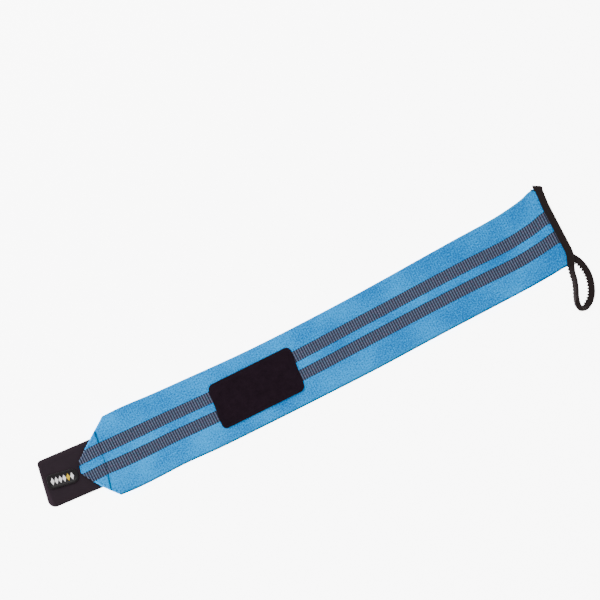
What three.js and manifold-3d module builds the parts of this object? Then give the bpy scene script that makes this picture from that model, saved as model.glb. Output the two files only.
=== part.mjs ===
// A wrist wrap that lies flat on a table: a long elastic band folded to a blunt point at one end,
// a hook tab with a raised label under the point, a loop patch on the band, and a binding tape over
// the square end with a thumb loop of scalloped tape.
// Millimetres. +X runs from the tab to the thumb loop, +Y across the band, +Z up from the table.
// The pieces are laid out from the middle of the band's blunt end, and the last lines move the
// whole wrap so that its origin is the middle of the table area that it covers.

import * as THREE from 'three';
import { mergeVertices } from 'three/addons/utils/BufferGeometryUtils.js';
import Module from 'manifold-3d';

const wasm = await Module();
wasm.setup();

// Driving dimensions: all pieces
const clearance = 0.3; // left between two pieces that touch

// Driving dimensions: elastic band
const bandLength = 552; // from the blunt end to the bound end
const bandWidth = 80;
const clothThickness = 1.8;
const bluntWidth = 12.8; // what the two folds leave of the cut end
const bluntSkew = 3.7; // how much further along its upper end lies
const upperShoulder = 43.9; // where the upper fold meets the upper edge
const lowerShoulder = 24.9; // where the lower fold meets the lower edge
const upperBow = 0.3; // how far the upper fold bows outwards
const lowerBow = 1.5; // how far the lower fold bows outwards
const foldSlit = 0.4; // between the band and a corner folded under it
const foldSwell = 0.15; // how far a fold's round edge stands above the flat cloth
const foldStart = 130; // degrees, where that round edge starts inside the cloth
const pointRun = 46; // length over which the point comes down to the table past the tab
const pointDroop = 0.7; // share of the tab's height that the shoulders sag beside it
const droopRun = 15; // width over which they sag
const endRun = 50; // length over which the bound end rises to the binding
const cornerPull = 4.6; // how far the thumb loop draws the lower corner of the bound end back
const pullRun = 14; // width of band that it draws
const pullGrowth = 1.5; // how steeply the pull grows towards the corner
const edgeLift = 2.6; // the highest that an edge of the band lifts off the table

// Driving dimensions: hook tab
const tabWidth = 51;
const tabThickness = 2.2;
const tabShown = 42.4; // from the band's blunt end to the middle of the tab's own end
const tabTucked = 32; // from the band's blunt end to the end sewn under the band
const tabSkew = 6; // how much further out the lower corner of its end lies
const tabMiddle = -2.5; // sideways place of its middle line at the blunt end
const tabTurn = -4; // degrees, its lie against the band
const tabUpperRadius = 4;
const tabLowerRadius = 9;
const tabBevel = 0.6;

// Driving dimensions: label
const labelLength = 33;
const labelWidth = 14.6;
const labelThickness = 1.5;
const labelSetback = 4.4; // from the label to the band's blunt end
const labelSide = -3.2; // sideways place of the end next to the band
const labelTurn = -7; // degrees, its lie on the tab
const labelRadius = 4.2; // corners of its outer end
const labelRim = 1.5; // width of the raised rim
const labelRecess = 0.45; // depth of the field inside the rim
const labelBevel = 0.35;

// Driving dimensions: loop patch
const patchLength = 94.5;
const patchWidth = 48;
const patchThickness = 1.6;
const patchRadius = 6;
const patchBevel = 0.45;
const patchAlong = 0.36; // share of the band's length where its middle lies
const patchTurn = -0.8; // degrees, its lie on the band
const patchLean = 0.09; // lean of its two ends, along for each length across
const patchMargin = 30; // length of band beyond it that settles flat

// Driving dimensions: binding
const bindingWidth = 6.4;
const bindingWall = 0.8; // thickness of the folded tape
const bindingRound = 1.4; // radius of its two outer edges
const bindingPast = 1.3; // how far it stands past the band's two corners
const mouthRound = 0.27; // radius of the edges of its mouth

// Driving dimensions: thumb loop
const loopReach = 44.4; // how far the loop's middle line runs past the binding
const loopSpread = 24.6; // between the middle lines of its two branches
const loopWidth = 6.5; // without the scallops
const loopThickness = 2.1;
const scallopPitch = 3.7;
const scallopDepth = 0.9;

// Sections along the band. along is a share of its length, middle and width are shares of its
// width, and lower, centre and upper are shares of edgeLift, for its two edges and its middle.
const bandSections = [
  { along: 0.045, middle: -0.052, width: 1.014, lower: 0.0, centre: 0.0, upper: 0.0 },
  { along: 0.08, middle: -0.06, width: 1.035, lower: 0.1, centre: 0.0, upper: 0.15 },
  { along: 0.12, middle: -0.064, width: 1.035, lower: 0.25, centre: 0.0, upper: 0.35 },
  { along: 0.18, middle: -0.078, width: 1.002, lower: 0.25, centre: 0.0, upper: 0.2 },
  { along: 0.25, middle: -0.103, width: 1.0, lower: 0.1, centre: 0.0, upper: 0.0 },
  { along: 0.36, middle: -0.128, width: 0.976, lower: 0.0, centre: 0.0, upper: 0.0 },
  { along: 0.46, middle: -0.136, width: 0.972, lower: 0.0, centre: 0.0, upper: 0.1 },
  { along: 0.58, middle: -0.134, width: 0.981, lower: 0.25, centre: 0.15, upper: 0.3 },
  { along: 0.66, middle: -0.122, width: 0.985, lower: 0.75, centre: 0.25, upper: 0.1 },
  { along: 0.74, middle: -0.108, width: 0.997, lower: 1.0, centre: 0.1, upper: 0.2 },
  { along: 0.82, middle: -0.097, width: 1.01, lower: 0.85, centre: 0.3, upper: 0.5 },
  { along: 0.9, middle: -0.086, width: 1.018, lower: 0.6, centre: 0.1, upper: 0.3 },
  { along: 0.945, middle: -0.063, width: 1.038, lower: 0.2, centre: 0.0, upper: 0.05 },
  { along: 0.965, middle: -0.045, width: 1.056, lower: 0.0, centre: 0.0, upper: 0.0 },
  { along: 0.98, middle: -0.026, width: 1.083, lower: 0.0, centre: 0.0, upper: 0.0 },
  { along: 1.0, middle: -0.022, width: 1.105, lower: 0.0, centre: 0.0, upper: 0.0 },
];

// Middle line of the thumb loop, from the binding's lower end round and back to the binding's side.
// down is a share of loopReach below the binding, side a share of loopSpread from its outer edge,
// and turn the share of half a turn by which the tape is twisted there.
const loopRoute = [
  { down: -0.015, side: -0.315, turn: 0.08 },
  { down: 0.15, side: -0.412, turn: 0.18 },
  { down: 0.33, side: -0.476, turn: 0.24 },
  { down: 0.51, side: -0.593, turn: 0.27 },
  { down: 0.7, side: -0.748, turn: 0.33 },
  { down: 0.87, side: -0.83, turn: 0.47 },
  { down: 0.97, side: -0.785, turn: 0.62 },
  { down: 1.0, side: -0.63, turn: 0.82 },
  { down: 0.95, side: -0.4, turn: 0.96 },
  { down: 0.83, side: -0.155, turn: 1.0 },
  { down: 0.68, side: 0.005, turn: 1.0 },
  { down: 0.5, side: 0.12, turn: 1.0 },
  { down: 0.3, side: 0.168, turn: 1.0 },
  { down: 0.1, side: 0.13, turn: 1.0 },
  { down: -0.05, side: 0.045, turn: 1.0 },
  { down: -0.17, side: -0.08, turn: 1.0 },
];

// Sizes that follow from the driving dimensions
const foldDepth = foldSlit + clothThickness;
const foldRadius = clothThickness + foldSlit / 2 + foldSwell;
const foldInset = foldRadius - 2 * foldSwell;
const slitRadius = foldSlit / 2 + foldSwell / 3;
const tabHeight = tabThickness + clearance;
const pointHeight = tabHeight + foldDepth;
const endHeight = bindingWall + clearance;
const bindingHeight = clothThickness + 2 * endHeight;
const patchMiddle = patchAlong * bandLength;

const spareShare = 0.06; // of a fold, past the blunt end before it is cut
const sameCorner = 1e-4; // corners nearer to each other than this are one

// How finely the pieces are divided
const pointSteps = 8;
const bandSteps = 54;
const acrossSteps = 12;
const foldSteps = 12;
const foldArcSteps = 5;
const curveSteps = 3;
const bindingSteps = 18;
const scallopSteps = 4;

const materials = {
  elastic: { color: 0x54aadc, roughness: 0.85 },
  tape: { color: 0x2d2626, roughness: 0.8 },
  hook: { color: 0x2f262d, roughness: 0.55 },
  pile: { color: 0x241c23, roughness: 0.95 },
  rubber: { color: 0x1f1c20, roughness: 0.45 },
};

function smooth(share) {
  const t = THREE.MathUtils.clamp(share, 0, 1);
  return t * t * (3 - 2 * t);
}

function counted(steps) {
  return Array.from({ length: steps + 1 }, (_, i) => i / steps);
}

// A smooth curve through one column of bandSections, by Hermite cubics whose slopes are those of
// the neighbouring rows.
function bandColumn(name, along) {
  const last = bandSections.length - 1;
  const next = bandSections.findIndex((row) => row.along > along);
  if (next === 0) return bandSections[0][name];
  if (next < 0) return bandSections[last][name];
  const slope = (i) => {
    const before = bandSections[Math.max(i - 1, 0)];
    const after = bandSections[Math.min(i + 1, last)];
    return (after[name] - before[name]) / (after.along - before.along);
  };
  const from = bandSections[next - 1];
  const to = bandSections[next];
  const span = to.along - from.along;
  const t = (along - from.along) / span;
  const leave = t * (1 - t) * (1 - t) * span * slope(next - 1);
  const arrive = t * t * (t - 1) * span * slope(next);
  return THREE.MathUtils.lerp(from[name], to[name], smooth(t)) + leave + arrive;
}

// A closed solid through rings of points. Every ring has as many points as the flat outline that
// caps the two ends, and the outline runs anticlockwise seen from the last ring.
function loft(rings, outline) {
  const count = outline.length;
  const index = [];
  for (let ring = 0; ring < rings.length - 1; ring += 1) {
    for (let j = 0; j < count; j += 1) {
      const a = ring * count + j;
      const b = ring * count + ((j + 1) % count);
      index.push(a, b, b + count, a, b + count, a + count);
    }
  }
  const last = (rings.length - 1) * count;
  for (const [a, b, c] of THREE.ShapeUtils.triangulateShape(outline, [])) {
    index.push(a, c, b, last + a, last + b, last + c);
  }
  const geometry = new THREE.BufferGeometry();
  geometry.setFromPoints(rings.flat());
  geometry.setIndex(index);
  return geometry;
}

function toManifold(geometry) {
  const bare = geometry.clone();
  bare.deleteAttribute('normal');
  bare.deleteAttribute('uv');
  const merged = mergeVertices(bare, sameCorner);
  return new wasm.Manifold(new wasm.Mesh({
    numProp: 3,
    vertProperties: new Float32Array(merged.attributes.position.array),
    triVerts: new Uint32Array(merged.index.array),
  }));
}

function fromManifold(solid) {
  const mesh = solid.getMesh();
  const geometry = new THREE.BufferGeometry();
  geometry.setAttribute('position', new THREE.BufferAttribute(mesh.vertProperties, 3));
  geometry.setIndex(new THREE.BufferAttribute(mesh.triVerts, 1));
  return geometry;
}

function join(geometries) {
  return fromManifold(geometries.map(toManifold).reduce((whole, piece) => whole.add(piece)));
}

function cut(geometry, tool) {
  return fromManifold(toManifold(geometry).subtract(toManifold(tool)));
}

function pieceOf(name, geometry, finish) {
  geometry.computeVertexNormals();
  const piece = new THREE.Mesh(geometry, new THREE.MeshStandardMaterial({ metalness: 0, ...finish }));
  piece.name = name;
  return piece;
}

// An outline whose corners are rounded by arcs. Each corner is [x, y, radius], anticlockwise.
function roundedOutline(corners) {
  const shape = new THREE.Shape();
  corners.forEach(([x, y, radius], i) => {
    const corner = new THREE.Vector2(x, y);
    const [backX, backY] = corners.at(i - 1);
    const [aheadX, aheadY] = corners[(i + 1) % corners.length];
    const back = new THREE.Vector2(backX, backY).sub(corner).normalize();
    const ahead = new THREE.Vector2(aheadX, aheadY).sub(corner).normalize();
    const half = Math.acos(back.dot(ahead)) / 2;
    const start = back.clone().multiplyScalar(radius / Math.tan(half)).add(corner);
    const centre = back.clone().add(ahead).setLength(radius / Math.sin(half)).add(corner);
    const from = start.sub(centre).angle();
    shape.absarc(centre.x, centre.y, radius, from, from + Math.PI - 2 * half, false);
  });
  return shape;
}

// A flat piece with bevelled edges, standing on z = 0.
function slab(shape, thickness, bevel) {
  const geometry = new THREE.ExtrudeGeometry(shape, {
    depth: thickness - 2 * bevel,
    bevelThickness: bevel,
    bevelSize: bevel,
    bevelOffset: -bevel,
    bevelSegments: 2,
    curveSegments: curveSteps,
  });
  return geometry.translate(0, 0, bevel);
}

// Elastic band

function middleLine(x) {
  return bandColumn('middle', x / bandLength) * bandWidth;
}

// Sideways place of an edge of the band: side is 1 for the upper edge and -1 for the lower one.
function edgeLine(x, side) {
  return middleLine(x) + side * bandColumn('width', x / bandLength) * bandWidth / 2;
}

const endLower = edgeLine(bandLength, -1);
const endUpper = edgeLine(bandLength, 1);

// How far the bound end is drawn back at a sideways place, towards its lower corner.
function pullAt(y) {
  return cornerPull * Math.max(0, (endLower + pullRun - y) / pullRun) ** pullGrowth;
}

// Height of the band's underside above the table. It lies on the tab at the point, sags beside the
// tab, comes down to the table past it, lifts a little at its edges and rises into the binding.
function undersideAt(x, y) {
  const past = smooth((x - tabTucked - clearance) / pointRun);
  const tabLine = tabMiddle + x * Math.tan(THREE.MathUtils.degToRad(tabTurn));
  const besideTab = Math.abs(y - tabLine) - tabWidth / 2 - 2 * clearance;
  const sag = pointDroop * tabHeight * smooth(besideTab / droopRun);
  const onTab = (pointHeight - sag) * (1 - past);
  const across = (y - middleLine(x)) / (bandWidth / 2);
  const edge = bandColumn(across > 0 ? 'upper' : 'lower', x / bandLength) * across ** 2;
  const centre = bandColumn('centre', x / bandLength) * Math.max(0, 1 - across ** 2);
  const wave = edgeLift * Math.max(0, edge + centre);
  const fromPatch = Math.abs(x - patchMiddle) - patchLength / 2 - patchRadius;
  const free = smooth(fromPatch / patchMargin) * past;
  const intoBinding = smooth((x - bandLength + 2 * bindingWidth + endRun) / endRun);
  return onTab + wave * free * (1 - intoBinding) + endHeight * intoBinding;
}

// A fold of the point, from the blunt end to its shoulder. The corner of the cloth that was cut
// square, turned over the fold, gives the tip of the flap below.
function makeFold(side, shoulder, bow) {
  const start = new THREE.Vector2(bluntSkew, bluntWidth).multiplyScalar(side / 2);
  const end = new THREE.Vector2(shoulder, edgeLine(shoulder, side));
  const length = start.distanceTo(end);
  const ahead = end.clone().sub(start).normalize();
  const out = new THREE.Vector2(-side * ahead.y, side * ahead.x);
  const corner = start.clone().multiplyScalar(end.y / start.y);
  const tip = corner.sub(start);
  return {
    side,
    shoulder,
    out,
    tipShare: tip.dot(ahead) / length,
    depth: tip.dot(out),
    pointAt: (share) => start.clone()
      .addScaledVector(ahead, share * length)
      .addScaledVector(out, bow * Math.sin(Math.PI * share)),
  };
}

const folds = [makeFold(-1, lowerShoulder, lowerBow), makeFold(1, upperShoulder, upperBow)];

// The point's shares of a fold start a little before the blunt end, which is cut straight later.
function foldShare(share) {
  return THREE.MathUtils.lerp(-spareShare, 1, share);
}

// Where a step along the band meets an edge. In the point the edge is the fold, drawn in so that
// the flat cloth ends inside the fold's round edge.
function edgeAt(fold, step) {
  if (step < pointSteps) {
    return fold.pointAt(foldShare(step / pointSteps)).addScaledVector(fold.out, -foldInset);
  }
  const x = THREE.MathUtils.lerp(fold.shoulder, bandLength, (step - pointSteps) / bandSteps);
  return new THREE.Vector2(x, edgeLine(x, fold.side));
}

function flatCloth() {
  const shares = counted(acrossSteps);
  const section = [
    ...shares.map((across) => ({ across, layer: 0 })),
    ...shares.toReversed().map((across) => ({ across, layer: 1 })),
  ];
  const rings = counted(pointSteps + bandSteps).map((_, step) => {
    const [lower, upper] = folds.map((fold) => edgeAt(fold, step));
    return section.map(({ across, layer }) => {
      const place = lower.clone().lerp(upper, across);
      const height = undersideAt(place.x, place.y) + layer * clothThickness;
      const pull = pullAt(place.y) * smooth(1 - (bandLength - place.x) / (2 * pullRun));
      return new THREE.Vector3(place.x - pull, place.y, height);
    });
  });
  // The caps' outline is waisted, so that every triangle in them spans from one face to the other
  const waist = ({ across, layer }) => (0.5 - layer) * across * (1 - across);
  const outline = section.map((point) => new THREE.Vector2(point.across, point.layer + waist(point)));
  return loft(rings, outline);
}

// A corner folded under: the cloth goes round the fold's edge and back below the band as a flap
// that is widest at its tip. The section's points are [outwards, up] from the fold's middle.
function foldSection(flap, side) {
  const start = THREE.MathUtils.degToRad(foldStart);
  const arc = (radius) => counted(foldArcSteps).map((share) => {
    const angle = THREE.MathUtils.lerp(start, -Math.PI / 2, share);
    return [radius * Math.cos(angle), radius * Math.sin(angle)];
  });
  const points = [
    ...arc(foldRadius),
    [-flap, foldSwell - foldRadius],
    [-flap, -foldSlit / 2],
    ...arc(slitRadius).toReversed(),
  ];
  return side > 0 ? points.toReversed() : points;
}

function foldedCorner(fold) {
  const rings = counted(foldSteps).map(foldShare).map((share) => {
    const toTip = share < fold.tipShare;
    const spread = toTip ? Math.max(0, share) / fold.tipShare : (1 - share) / (1 - fold.tipShare);
    return foldSection(foldRadius + spread * fold.depth, fold.side).map(([outwards, up]) => {
      const place = fold.pointAt(share).addScaledVector(fold.out, outwards - foldRadius);
      const middle = undersideAt(place.x, place.y) - foldSlit / 2;
      return new THREE.Vector3(place.x, place.y, middle + up);
    });
  });
  const section = foldSection(2 * foldRadius, fold.side);
  const outline = section.map(([outwards, up]) => new THREE.Vector2(outwards * fold.side, up));
  return loft(rings, outline);
}

// The band with its two folded corners, cut straight across at the blunt end.
function makeElasticBand() {
  const cloth = join([flatCloth(), ...folds.map(foldedCorner)]);
  const trim = new THREE.BoxGeometry(2 * bluntWidth, 3 * bluntWidth, 4 * pointHeight);
  trim.translate(-bluntWidth, 0, 0);
  trim.rotateZ(-Math.atan2(bluntSkew, bluntWidth));
  return pieceOf('elastic_band', cut(cloth, trim), materials.elastic);
}

// Hook tab and label, both in the tab's own turned frame

function makeHookTab() {
  const outline = roundedOutline([
    [-tabShown - tabSkew / 2, -tabWidth / 2, tabLowerRadius],
    [tabTucked, -tabWidth / 2, tabUpperRadius],
    [tabTucked, tabWidth / 2, tabUpperRadius],
    [-tabShown + tabSkew / 2, tabWidth / 2, tabUpperRadius],
  ]);
  return pieceOf('hook_tab', slab(outline, tabThickness, tabBevel), materials.hook);
}

// A bullet shape whose round end lies next to the band, drawn in by an inset all round.
function labelOutline(inset) {
  const half = labelWidth / 2 - inset;
  const corner = Math.max(labelRadius - inset, labelRim);
  return roundedOutline([
    [inset - labelLength, -half, corner],
    [-inset, -half, half - labelBevel],
    [-inset, half, half - labelBevel],
    [inset - labelLength, half, corner],
  ]);
}

function makeTabLabel() {
  const body = slab(labelOutline(0), labelThickness, labelBevel);
  const field = slab(labelOutline(labelRim), labelThickness, labelBevel);
  field.translate(0, 0, labelThickness - labelRecess);
  const label = pieceOf('tab_label', cut(body, field), materials.rubber);
  label.position.set(-labelSetback, labelSide, tabHeight);
  label.rotation.z = THREE.MathUtils.degToRad(labelTurn);
  return label;
}

// Loop patch

function makeLoopPatch() {
  const lean = patchLean * patchWidth / 2;
  const outline = roundedOutline([
    [-patchLength / 2 - lean, -patchWidth / 2, patchRadius],
    [patchLength / 2 - lean, -patchWidth / 2, patchRadius],
    [patchLength / 2 + lean, patchWidth / 2, patchRadius],
    [-patchLength / 2 + lean, patchWidth / 2, patchRadius],
  ]);
  const patch = pieceOf('loop_patch', slab(outline, patchThickness, patchBevel), materials.pile);
  patch.position.set(patchMiddle, middleLine(patchMiddle), clothThickness + clearance);
  patch.rotation.z = THREE.MathUtils.degToRad(patchTurn);
  return patch;
}

// Binding: a tape folded over the band's end, closed at its upper end

const bindingTop = endUpper + bindingPast;
const bindingBottom = endLower - bindingPast;

// A solid that runs along the bound end between two sideways places. The section's points are
// [outwards, up], outwards from the band's end and up from the table.
function alongBoundEnd(from, to, section) {
  const outline = section.getPoints(curveSteps);
  const rings = counted(bindingSteps).map((share) => {
    const y = THREE.MathUtils.lerp(from, to, share);
    const slope = pullAt(y - clearance) - pullAt(y + clearance);
    const out = new THREE.Vector2(2 * clearance, -slope).normalize();
    return outline.map((point) => new THREE.Vector3(
      bandLength - pullAt(y) + out.x * point.x,
      y + out.y * point.x,
      point.y,
    ));
  });
  return loft(rings, outline);
}

function tapeSection(margin) {
  const outer = clearance + bindingWall + margin;
  const mouth = outer - bindingWidth - 2 * margin;
  const top = bindingHeight + margin;
  return roundedOutline([
    [mouth, -margin, mouthRound],
    [outer, -margin, bindingRound],
    [outer, top, bindingRound],
    [mouth, top, mouthRound],
  ]);
}

function makeEndBinding() {
  const outer = alongBoundEnd(bindingTop, bindingBottom, tapeSection(0));
  const slotTop = bindingHeight - bindingWall;
  const slotSection = new THREE.Shape([
    new THREE.Vector2(-2 * bindingWidth, bindingWall),
    new THREE.Vector2(clearance, bindingWall),
    new THREE.Vector2(clearance, slotTop),
    new THREE.Vector2(-2 * bindingWidth, slotTop),
  ]);
  const slot = alongBoundEnd(endUpper + clearance, bindingBottom - bindingWidth, slotSection);
  return pieceOf('end_binding', cut(outer, slot), materials.tape);
}

// Thumb loop

// The route's turn is carried as the curve's third coordinate, a number from 0 to 1.
function loopCurve() {
  const startX = bandLength + clearance + bindingWall;
  return new THREE.CatmullRomCurve3(loopRoute.map(({ down, side, turn }) => new THREE.Vector3(
    startX + side * loopSpread,
    bindingBottom - down * loopReach,
    turn,
  )));
}

// Section of the tape, points [towards the scalloped edge, through the thickness].
function tapeOutline(scallop) {
  const edge = loopWidth / 2;
  const round = loopThickness / 4;
  const half = loopThickness / 2;
  return [
    [-edge, -round],
    [-edge, round],
    [round - edge, half],
    [edge + scallop - round, half],
    [edge + scallop, round],
    [edge + scallop, -round],
    [edge + scallop - round, -half],
    [round - edge, -half],
  ];
}

// The tape is swept along the route, turned over by the twist and set down on the table at every
// step. Its two ends are cut to fit the binding, and its first end to clear the band's corner.
function makeThumbLoop() {
  const curve = loopCurve();
  const scallops = Math.round(curve.getLength() / scallopPitch);
  const rings = counted(scallops * scallopSteps).map((share, i) => {
    const { x, y, z: turn } = curve.getPointAt(share);
    const tangent = curve.getTangentAt(share).setZ(0).normalize();
    const right = new THREE.Vector3(tangent.y, -tangent.x, 0);
    const up = new THREE.Vector3(0, 0, 1);
    const angle = Math.PI * THREE.MathUtils.clamp(turn, 0, 1);
    const edgeWay = right.clone().multiplyScalar(Math.cos(angle)).addScaledVector(up, -Math.sin(angle));
    const faceWay = up.clone().multiplyScalar(Math.cos(angle)).addScaledVector(right, Math.sin(angle));
    const lowest = Math.sin(angle) * (loopWidth / 2 + scallopDepth)
      + Math.abs(Math.cos(angle)) * loopThickness / 2;
    const scallop = scallopDepth * Math.abs(Math.sin(Math.PI * i / scallopSteps));
    return tapeOutline(scallop).map(([edge, face]) => new THREE.Vector3(x, y, lowest)
      .addScaledVector(edgeWay, edge)
      .addScaledVector(faceWay, face));
  });
  const tape = loft(rings, tapeOutline(0).map(([edge, face]) => new THREE.Vector2(-edge, face)));
  const room = alongBoundEnd(bindingTop, bindingBottom - clearance, tapeSection(clearance));
  const corner = new THREE.BoxGeometry(loopSpread, loopWidth, 2 * (loopWidth + bindingHeight)).translate(
    bandLength - (bindingWidth + loopSpread) / 2,
    endLower - clearance + loopWidth / 2,
    0,
  );
  return pieceOf('thumb_loop', cut(cut(tape, room), corner), materials.tape);
}

// The whole wrap

const tab = new THREE.Group();
tab.add(makeHookTab(), makeTabLabel());
tab.position.set(0, tabMiddle, 0);
tab.rotation.z = THREE.MathUtils.degToRad(tabTurn);

const wrap = new THREE.Group();
wrap.add(makeElasticBand(), tab, makeLoopPatch(), makeEndBinding(), makeThumbLoop());
wrap.updateMatrixWorld(true);

const extent = new THREE.Box3().setFromObject(wrap, true);
const middle = extent.getCenter(new THREE.Vector3());
wrap.position.set(-middle.x, -middle.y, -extent.min.z);

export default wrap;
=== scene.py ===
"""Dresses a packed wrist wrap that lies flat: a woven elastic band with two ribbed stripes, folded to
a blunt point, a hook tab with a rubber label, a loop patch, a bound end and a thumb loop.
Metres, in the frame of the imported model: +X from the tab to the thumb loop, +Z up from the table."""

import math
from types import SimpleNamespace

import bpy
import numpy as np
from mathutils import Matrix, Vector


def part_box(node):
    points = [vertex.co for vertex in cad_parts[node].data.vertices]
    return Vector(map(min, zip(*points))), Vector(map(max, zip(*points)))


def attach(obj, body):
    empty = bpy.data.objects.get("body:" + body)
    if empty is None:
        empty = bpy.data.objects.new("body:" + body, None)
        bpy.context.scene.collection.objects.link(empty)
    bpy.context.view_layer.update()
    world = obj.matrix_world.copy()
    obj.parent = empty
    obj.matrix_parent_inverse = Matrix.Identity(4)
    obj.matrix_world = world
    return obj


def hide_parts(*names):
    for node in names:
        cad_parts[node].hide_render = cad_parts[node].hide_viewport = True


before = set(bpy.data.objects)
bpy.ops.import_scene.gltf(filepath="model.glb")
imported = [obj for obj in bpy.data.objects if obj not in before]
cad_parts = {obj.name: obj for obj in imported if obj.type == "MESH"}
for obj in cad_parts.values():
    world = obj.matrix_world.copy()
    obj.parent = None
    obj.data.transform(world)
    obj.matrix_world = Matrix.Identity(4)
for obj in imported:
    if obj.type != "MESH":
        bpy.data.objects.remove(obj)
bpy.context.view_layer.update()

bl_info = {
    "name": "Wrist wrap",
    "version": (1, 0, 0),
    "blender": (4, 5, 0),
    "location": "3D View > Sidebar > Wrist wrap",
    "description": "Builds the cloth, tapes, stitches and finishes of a wrist wrap around its frame",
    "category": "Add Mesh",
}

MM = 0.001

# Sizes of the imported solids, which the pieces here follow
CLEARANCE = 0.3 * MM  # between two solids

# Elastic band
BAND_LENGTH = 552 * MM
BAND_WIDTH = 80 * MM
CLOTH_THICKNESS = 1.8 * MM
BLUNT_WIDTH = 12.8 * MM
BLUNT_SKEW = 3.7 * MM
UPPER_SHOULDER = 43.9 * MM
LOWER_SHOULDER = 24.9 * MM
UPPER_BOW = 0.3 * MM
LOWER_BOW = 1.5 * MM
FOLD_SLIT = 0.4 * MM
FOLD_SWELL = 0.15 * MM
FOLD_START = math.radians(130)
POINT_RUN = 46 * MM
POINT_DROOP = 0.7
DROOP_RUN = 15 * MM
END_RUN = 50 * MM
CORNER_PULL = 4.6 * MM
PULL_RUN = 14 * MM
PULL_GROWTH = 1.5
EDGE_LIFT = 2.6 * MM

# Hook tab
TAB_WIDTH = 51 * MM
TAB_THICKNESS = 2.2 * MM
TAB_SHOWN = 42.4 * MM
TAB_TUCKED = 32 * MM
TAB_SKEW = 6 * MM
TAB_MIDDLE = -2.5 * MM
TAB_TURN = math.radians(-4)
TAB_UPPER_RADIUS = 4 * MM
TAB_LOWER_RADIUS = 9 * MM

# Label
LABEL_LENGTH = 33 * MM
LABEL_WIDTH = 14.6 * MM
LABEL_THICKNESS = 1.5 * MM
LABEL_SETBACK = 4.4 * MM
LABEL_SIDE = -3.2 * MM
LABEL_TURN = math.radians(-7)
LABEL_RADIUS = 4.2 * MM
LABEL_RIM = 1.5 * MM
LABEL_RECESS = 0.45 * MM

# Loop patch
PATCH_LENGTH = 94.5 * MM
PATCH_WIDTH = 48 * MM
PATCH_THICKNESS = 1.6 * MM
PATCH_RADIUS = 6 * MM
PATCH_ALONG = 0.36
PATCH_TURN = math.radians(-0.8)
PATCH_LEAN = 0.09
PATCH_MARGIN = 30 * MM

# Binding
BINDING_WIDTH = 6.4 * MM
BINDING_WALL = 0.8 * MM
BINDING_ROUND = 1.4 * MM
BINDING_PAST = 1.3 * MM

# Thumb loop
LOOP_REACH = 44.4 * MM
LOOP_SPREAD = 24.6 * MM
LOOP_WIDTH = 6.5 * MM
LOOP_THICKNESS = 2.1 * MM
SCALLOP_PITCH = 3.7 * MM
SCALLOP_DEPTH = 0.9 * MM

# Sections along the band. along is a share of its length, middle and width are shares of its width,
# lower, centre and upper are shares of EDGE_LIFT, and stripes is the sideways place of the stripes'
# middle from the band's own, a share of its width.
SECTIONS = np.array(
    [
        (0.045, -0.052, 1.014, 0.00, 0.00, 0.00, 0.014),
        (0.080, -0.060, 1.035, 0.10, 0.00, 0.15, 0.008),
        (0.120, -0.064, 1.035, 0.25, 0.00, 0.35, 0.004),
        (0.180, -0.078, 1.002, 0.25, 0.00, 0.20, 0.009),
        (0.250, -0.103, 1.000, 0.10, 0.00, 0.00, 0.014),
        (0.360, -0.128, 0.976, 0.00, 0.00, 0.00, 0.014),
        (0.460, -0.136, 0.972, 0.00, 0.00, 0.10, 0.013),
        (0.580, -0.134, 0.981, 0.25, 0.15, 0.30, 0.024),
        (0.660, -0.122, 0.985, 0.75, 0.25, 0.10, 0.020),
        (0.740, -0.108, 0.997, 1.00, 0.10, 0.20, 0.014),
        (0.820, -0.097, 1.010, 0.85, 0.30, 0.50, 0.004),
        (0.900, -0.086, 1.018, 0.60, 0.10, 0.30, -0.012),
        (0.945, -0.063, 1.038, 0.20, 0.00, 0.05, -0.011),
        (0.965, -0.045, 1.056, 0.00, 0.00, 0.00, -0.010),
        (0.980, -0.026, 1.083, 0.00, 0.00, 0.00, -0.008),
        (1.000, -0.022, 1.105, 0.00, 0.00, 0.00, -0.008),
    ],
    dtype=[(n, float) for n in ("along", "middle", "width", "lower", "centre", "upper", "stripes")],
)

# Middle line of the thumb loop, as in the frame: down is a share of LOOP_REACH below the binding,
# side a share of LOOP_SPREAD from its outer edge, turn the share of half a turn of the tape's twist.
LOOP_ROUTE = np.array(
    [
        (-0.015, -0.315, 0.08),
        (0.15, -0.412, 0.18),
        (0.33, -0.476, 0.24),
        (0.51, -0.593, 0.27),
        (0.70, -0.748, 0.33),
        (0.87, -0.830, 0.47),
        (0.97, -0.785, 0.62),
        (1.00, -0.630, 0.82),
        (0.95, -0.400, 0.96),
        (0.83, -0.155, 1.00),
        (0.68, 0.005, 1.00),
        (0.50, 0.120, 1.00),
        (0.30, 0.168, 1.00),
        (0.10, 0.130, 1.00),
        (-0.05, 0.045, 1.00),
        (-0.17, -0.080, 1.00),
    ],
    dtype=[(n, float) for n in ("down", "side", "turn")],
)

# Sizes that follow from the ones above
FOLD_RADIUS = CLOTH_THICKNESS + FOLD_SLIT / 2 + FOLD_SWELL
FOLD_INSET = FOLD_RADIUS - 2 * FOLD_SWELL
SLIT_RADIUS = FOLD_SLIT / 2 + FOLD_SWELL / 3
TAB_HEIGHT = TAB_THICKNESS + CLEARANCE
POINT_HEIGHT = TAB_HEIGHT + FOLD_SLIT + CLOTH_THICKNESS
END_HEIGHT = BINDING_WALL + CLEARANCE
BINDING_HEIGHT = CLOTH_THICKNESS + 2 * END_HEIGHT
BINDING_OUTER = CLEARANCE + BINDING_WALL  # outwards of the band's end
BINDING_MOUTH = BINDING_OUTER - BINDING_WIDTH
PATCH_MIDDLE = PATCH_ALONG * BAND_LENGTH

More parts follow.
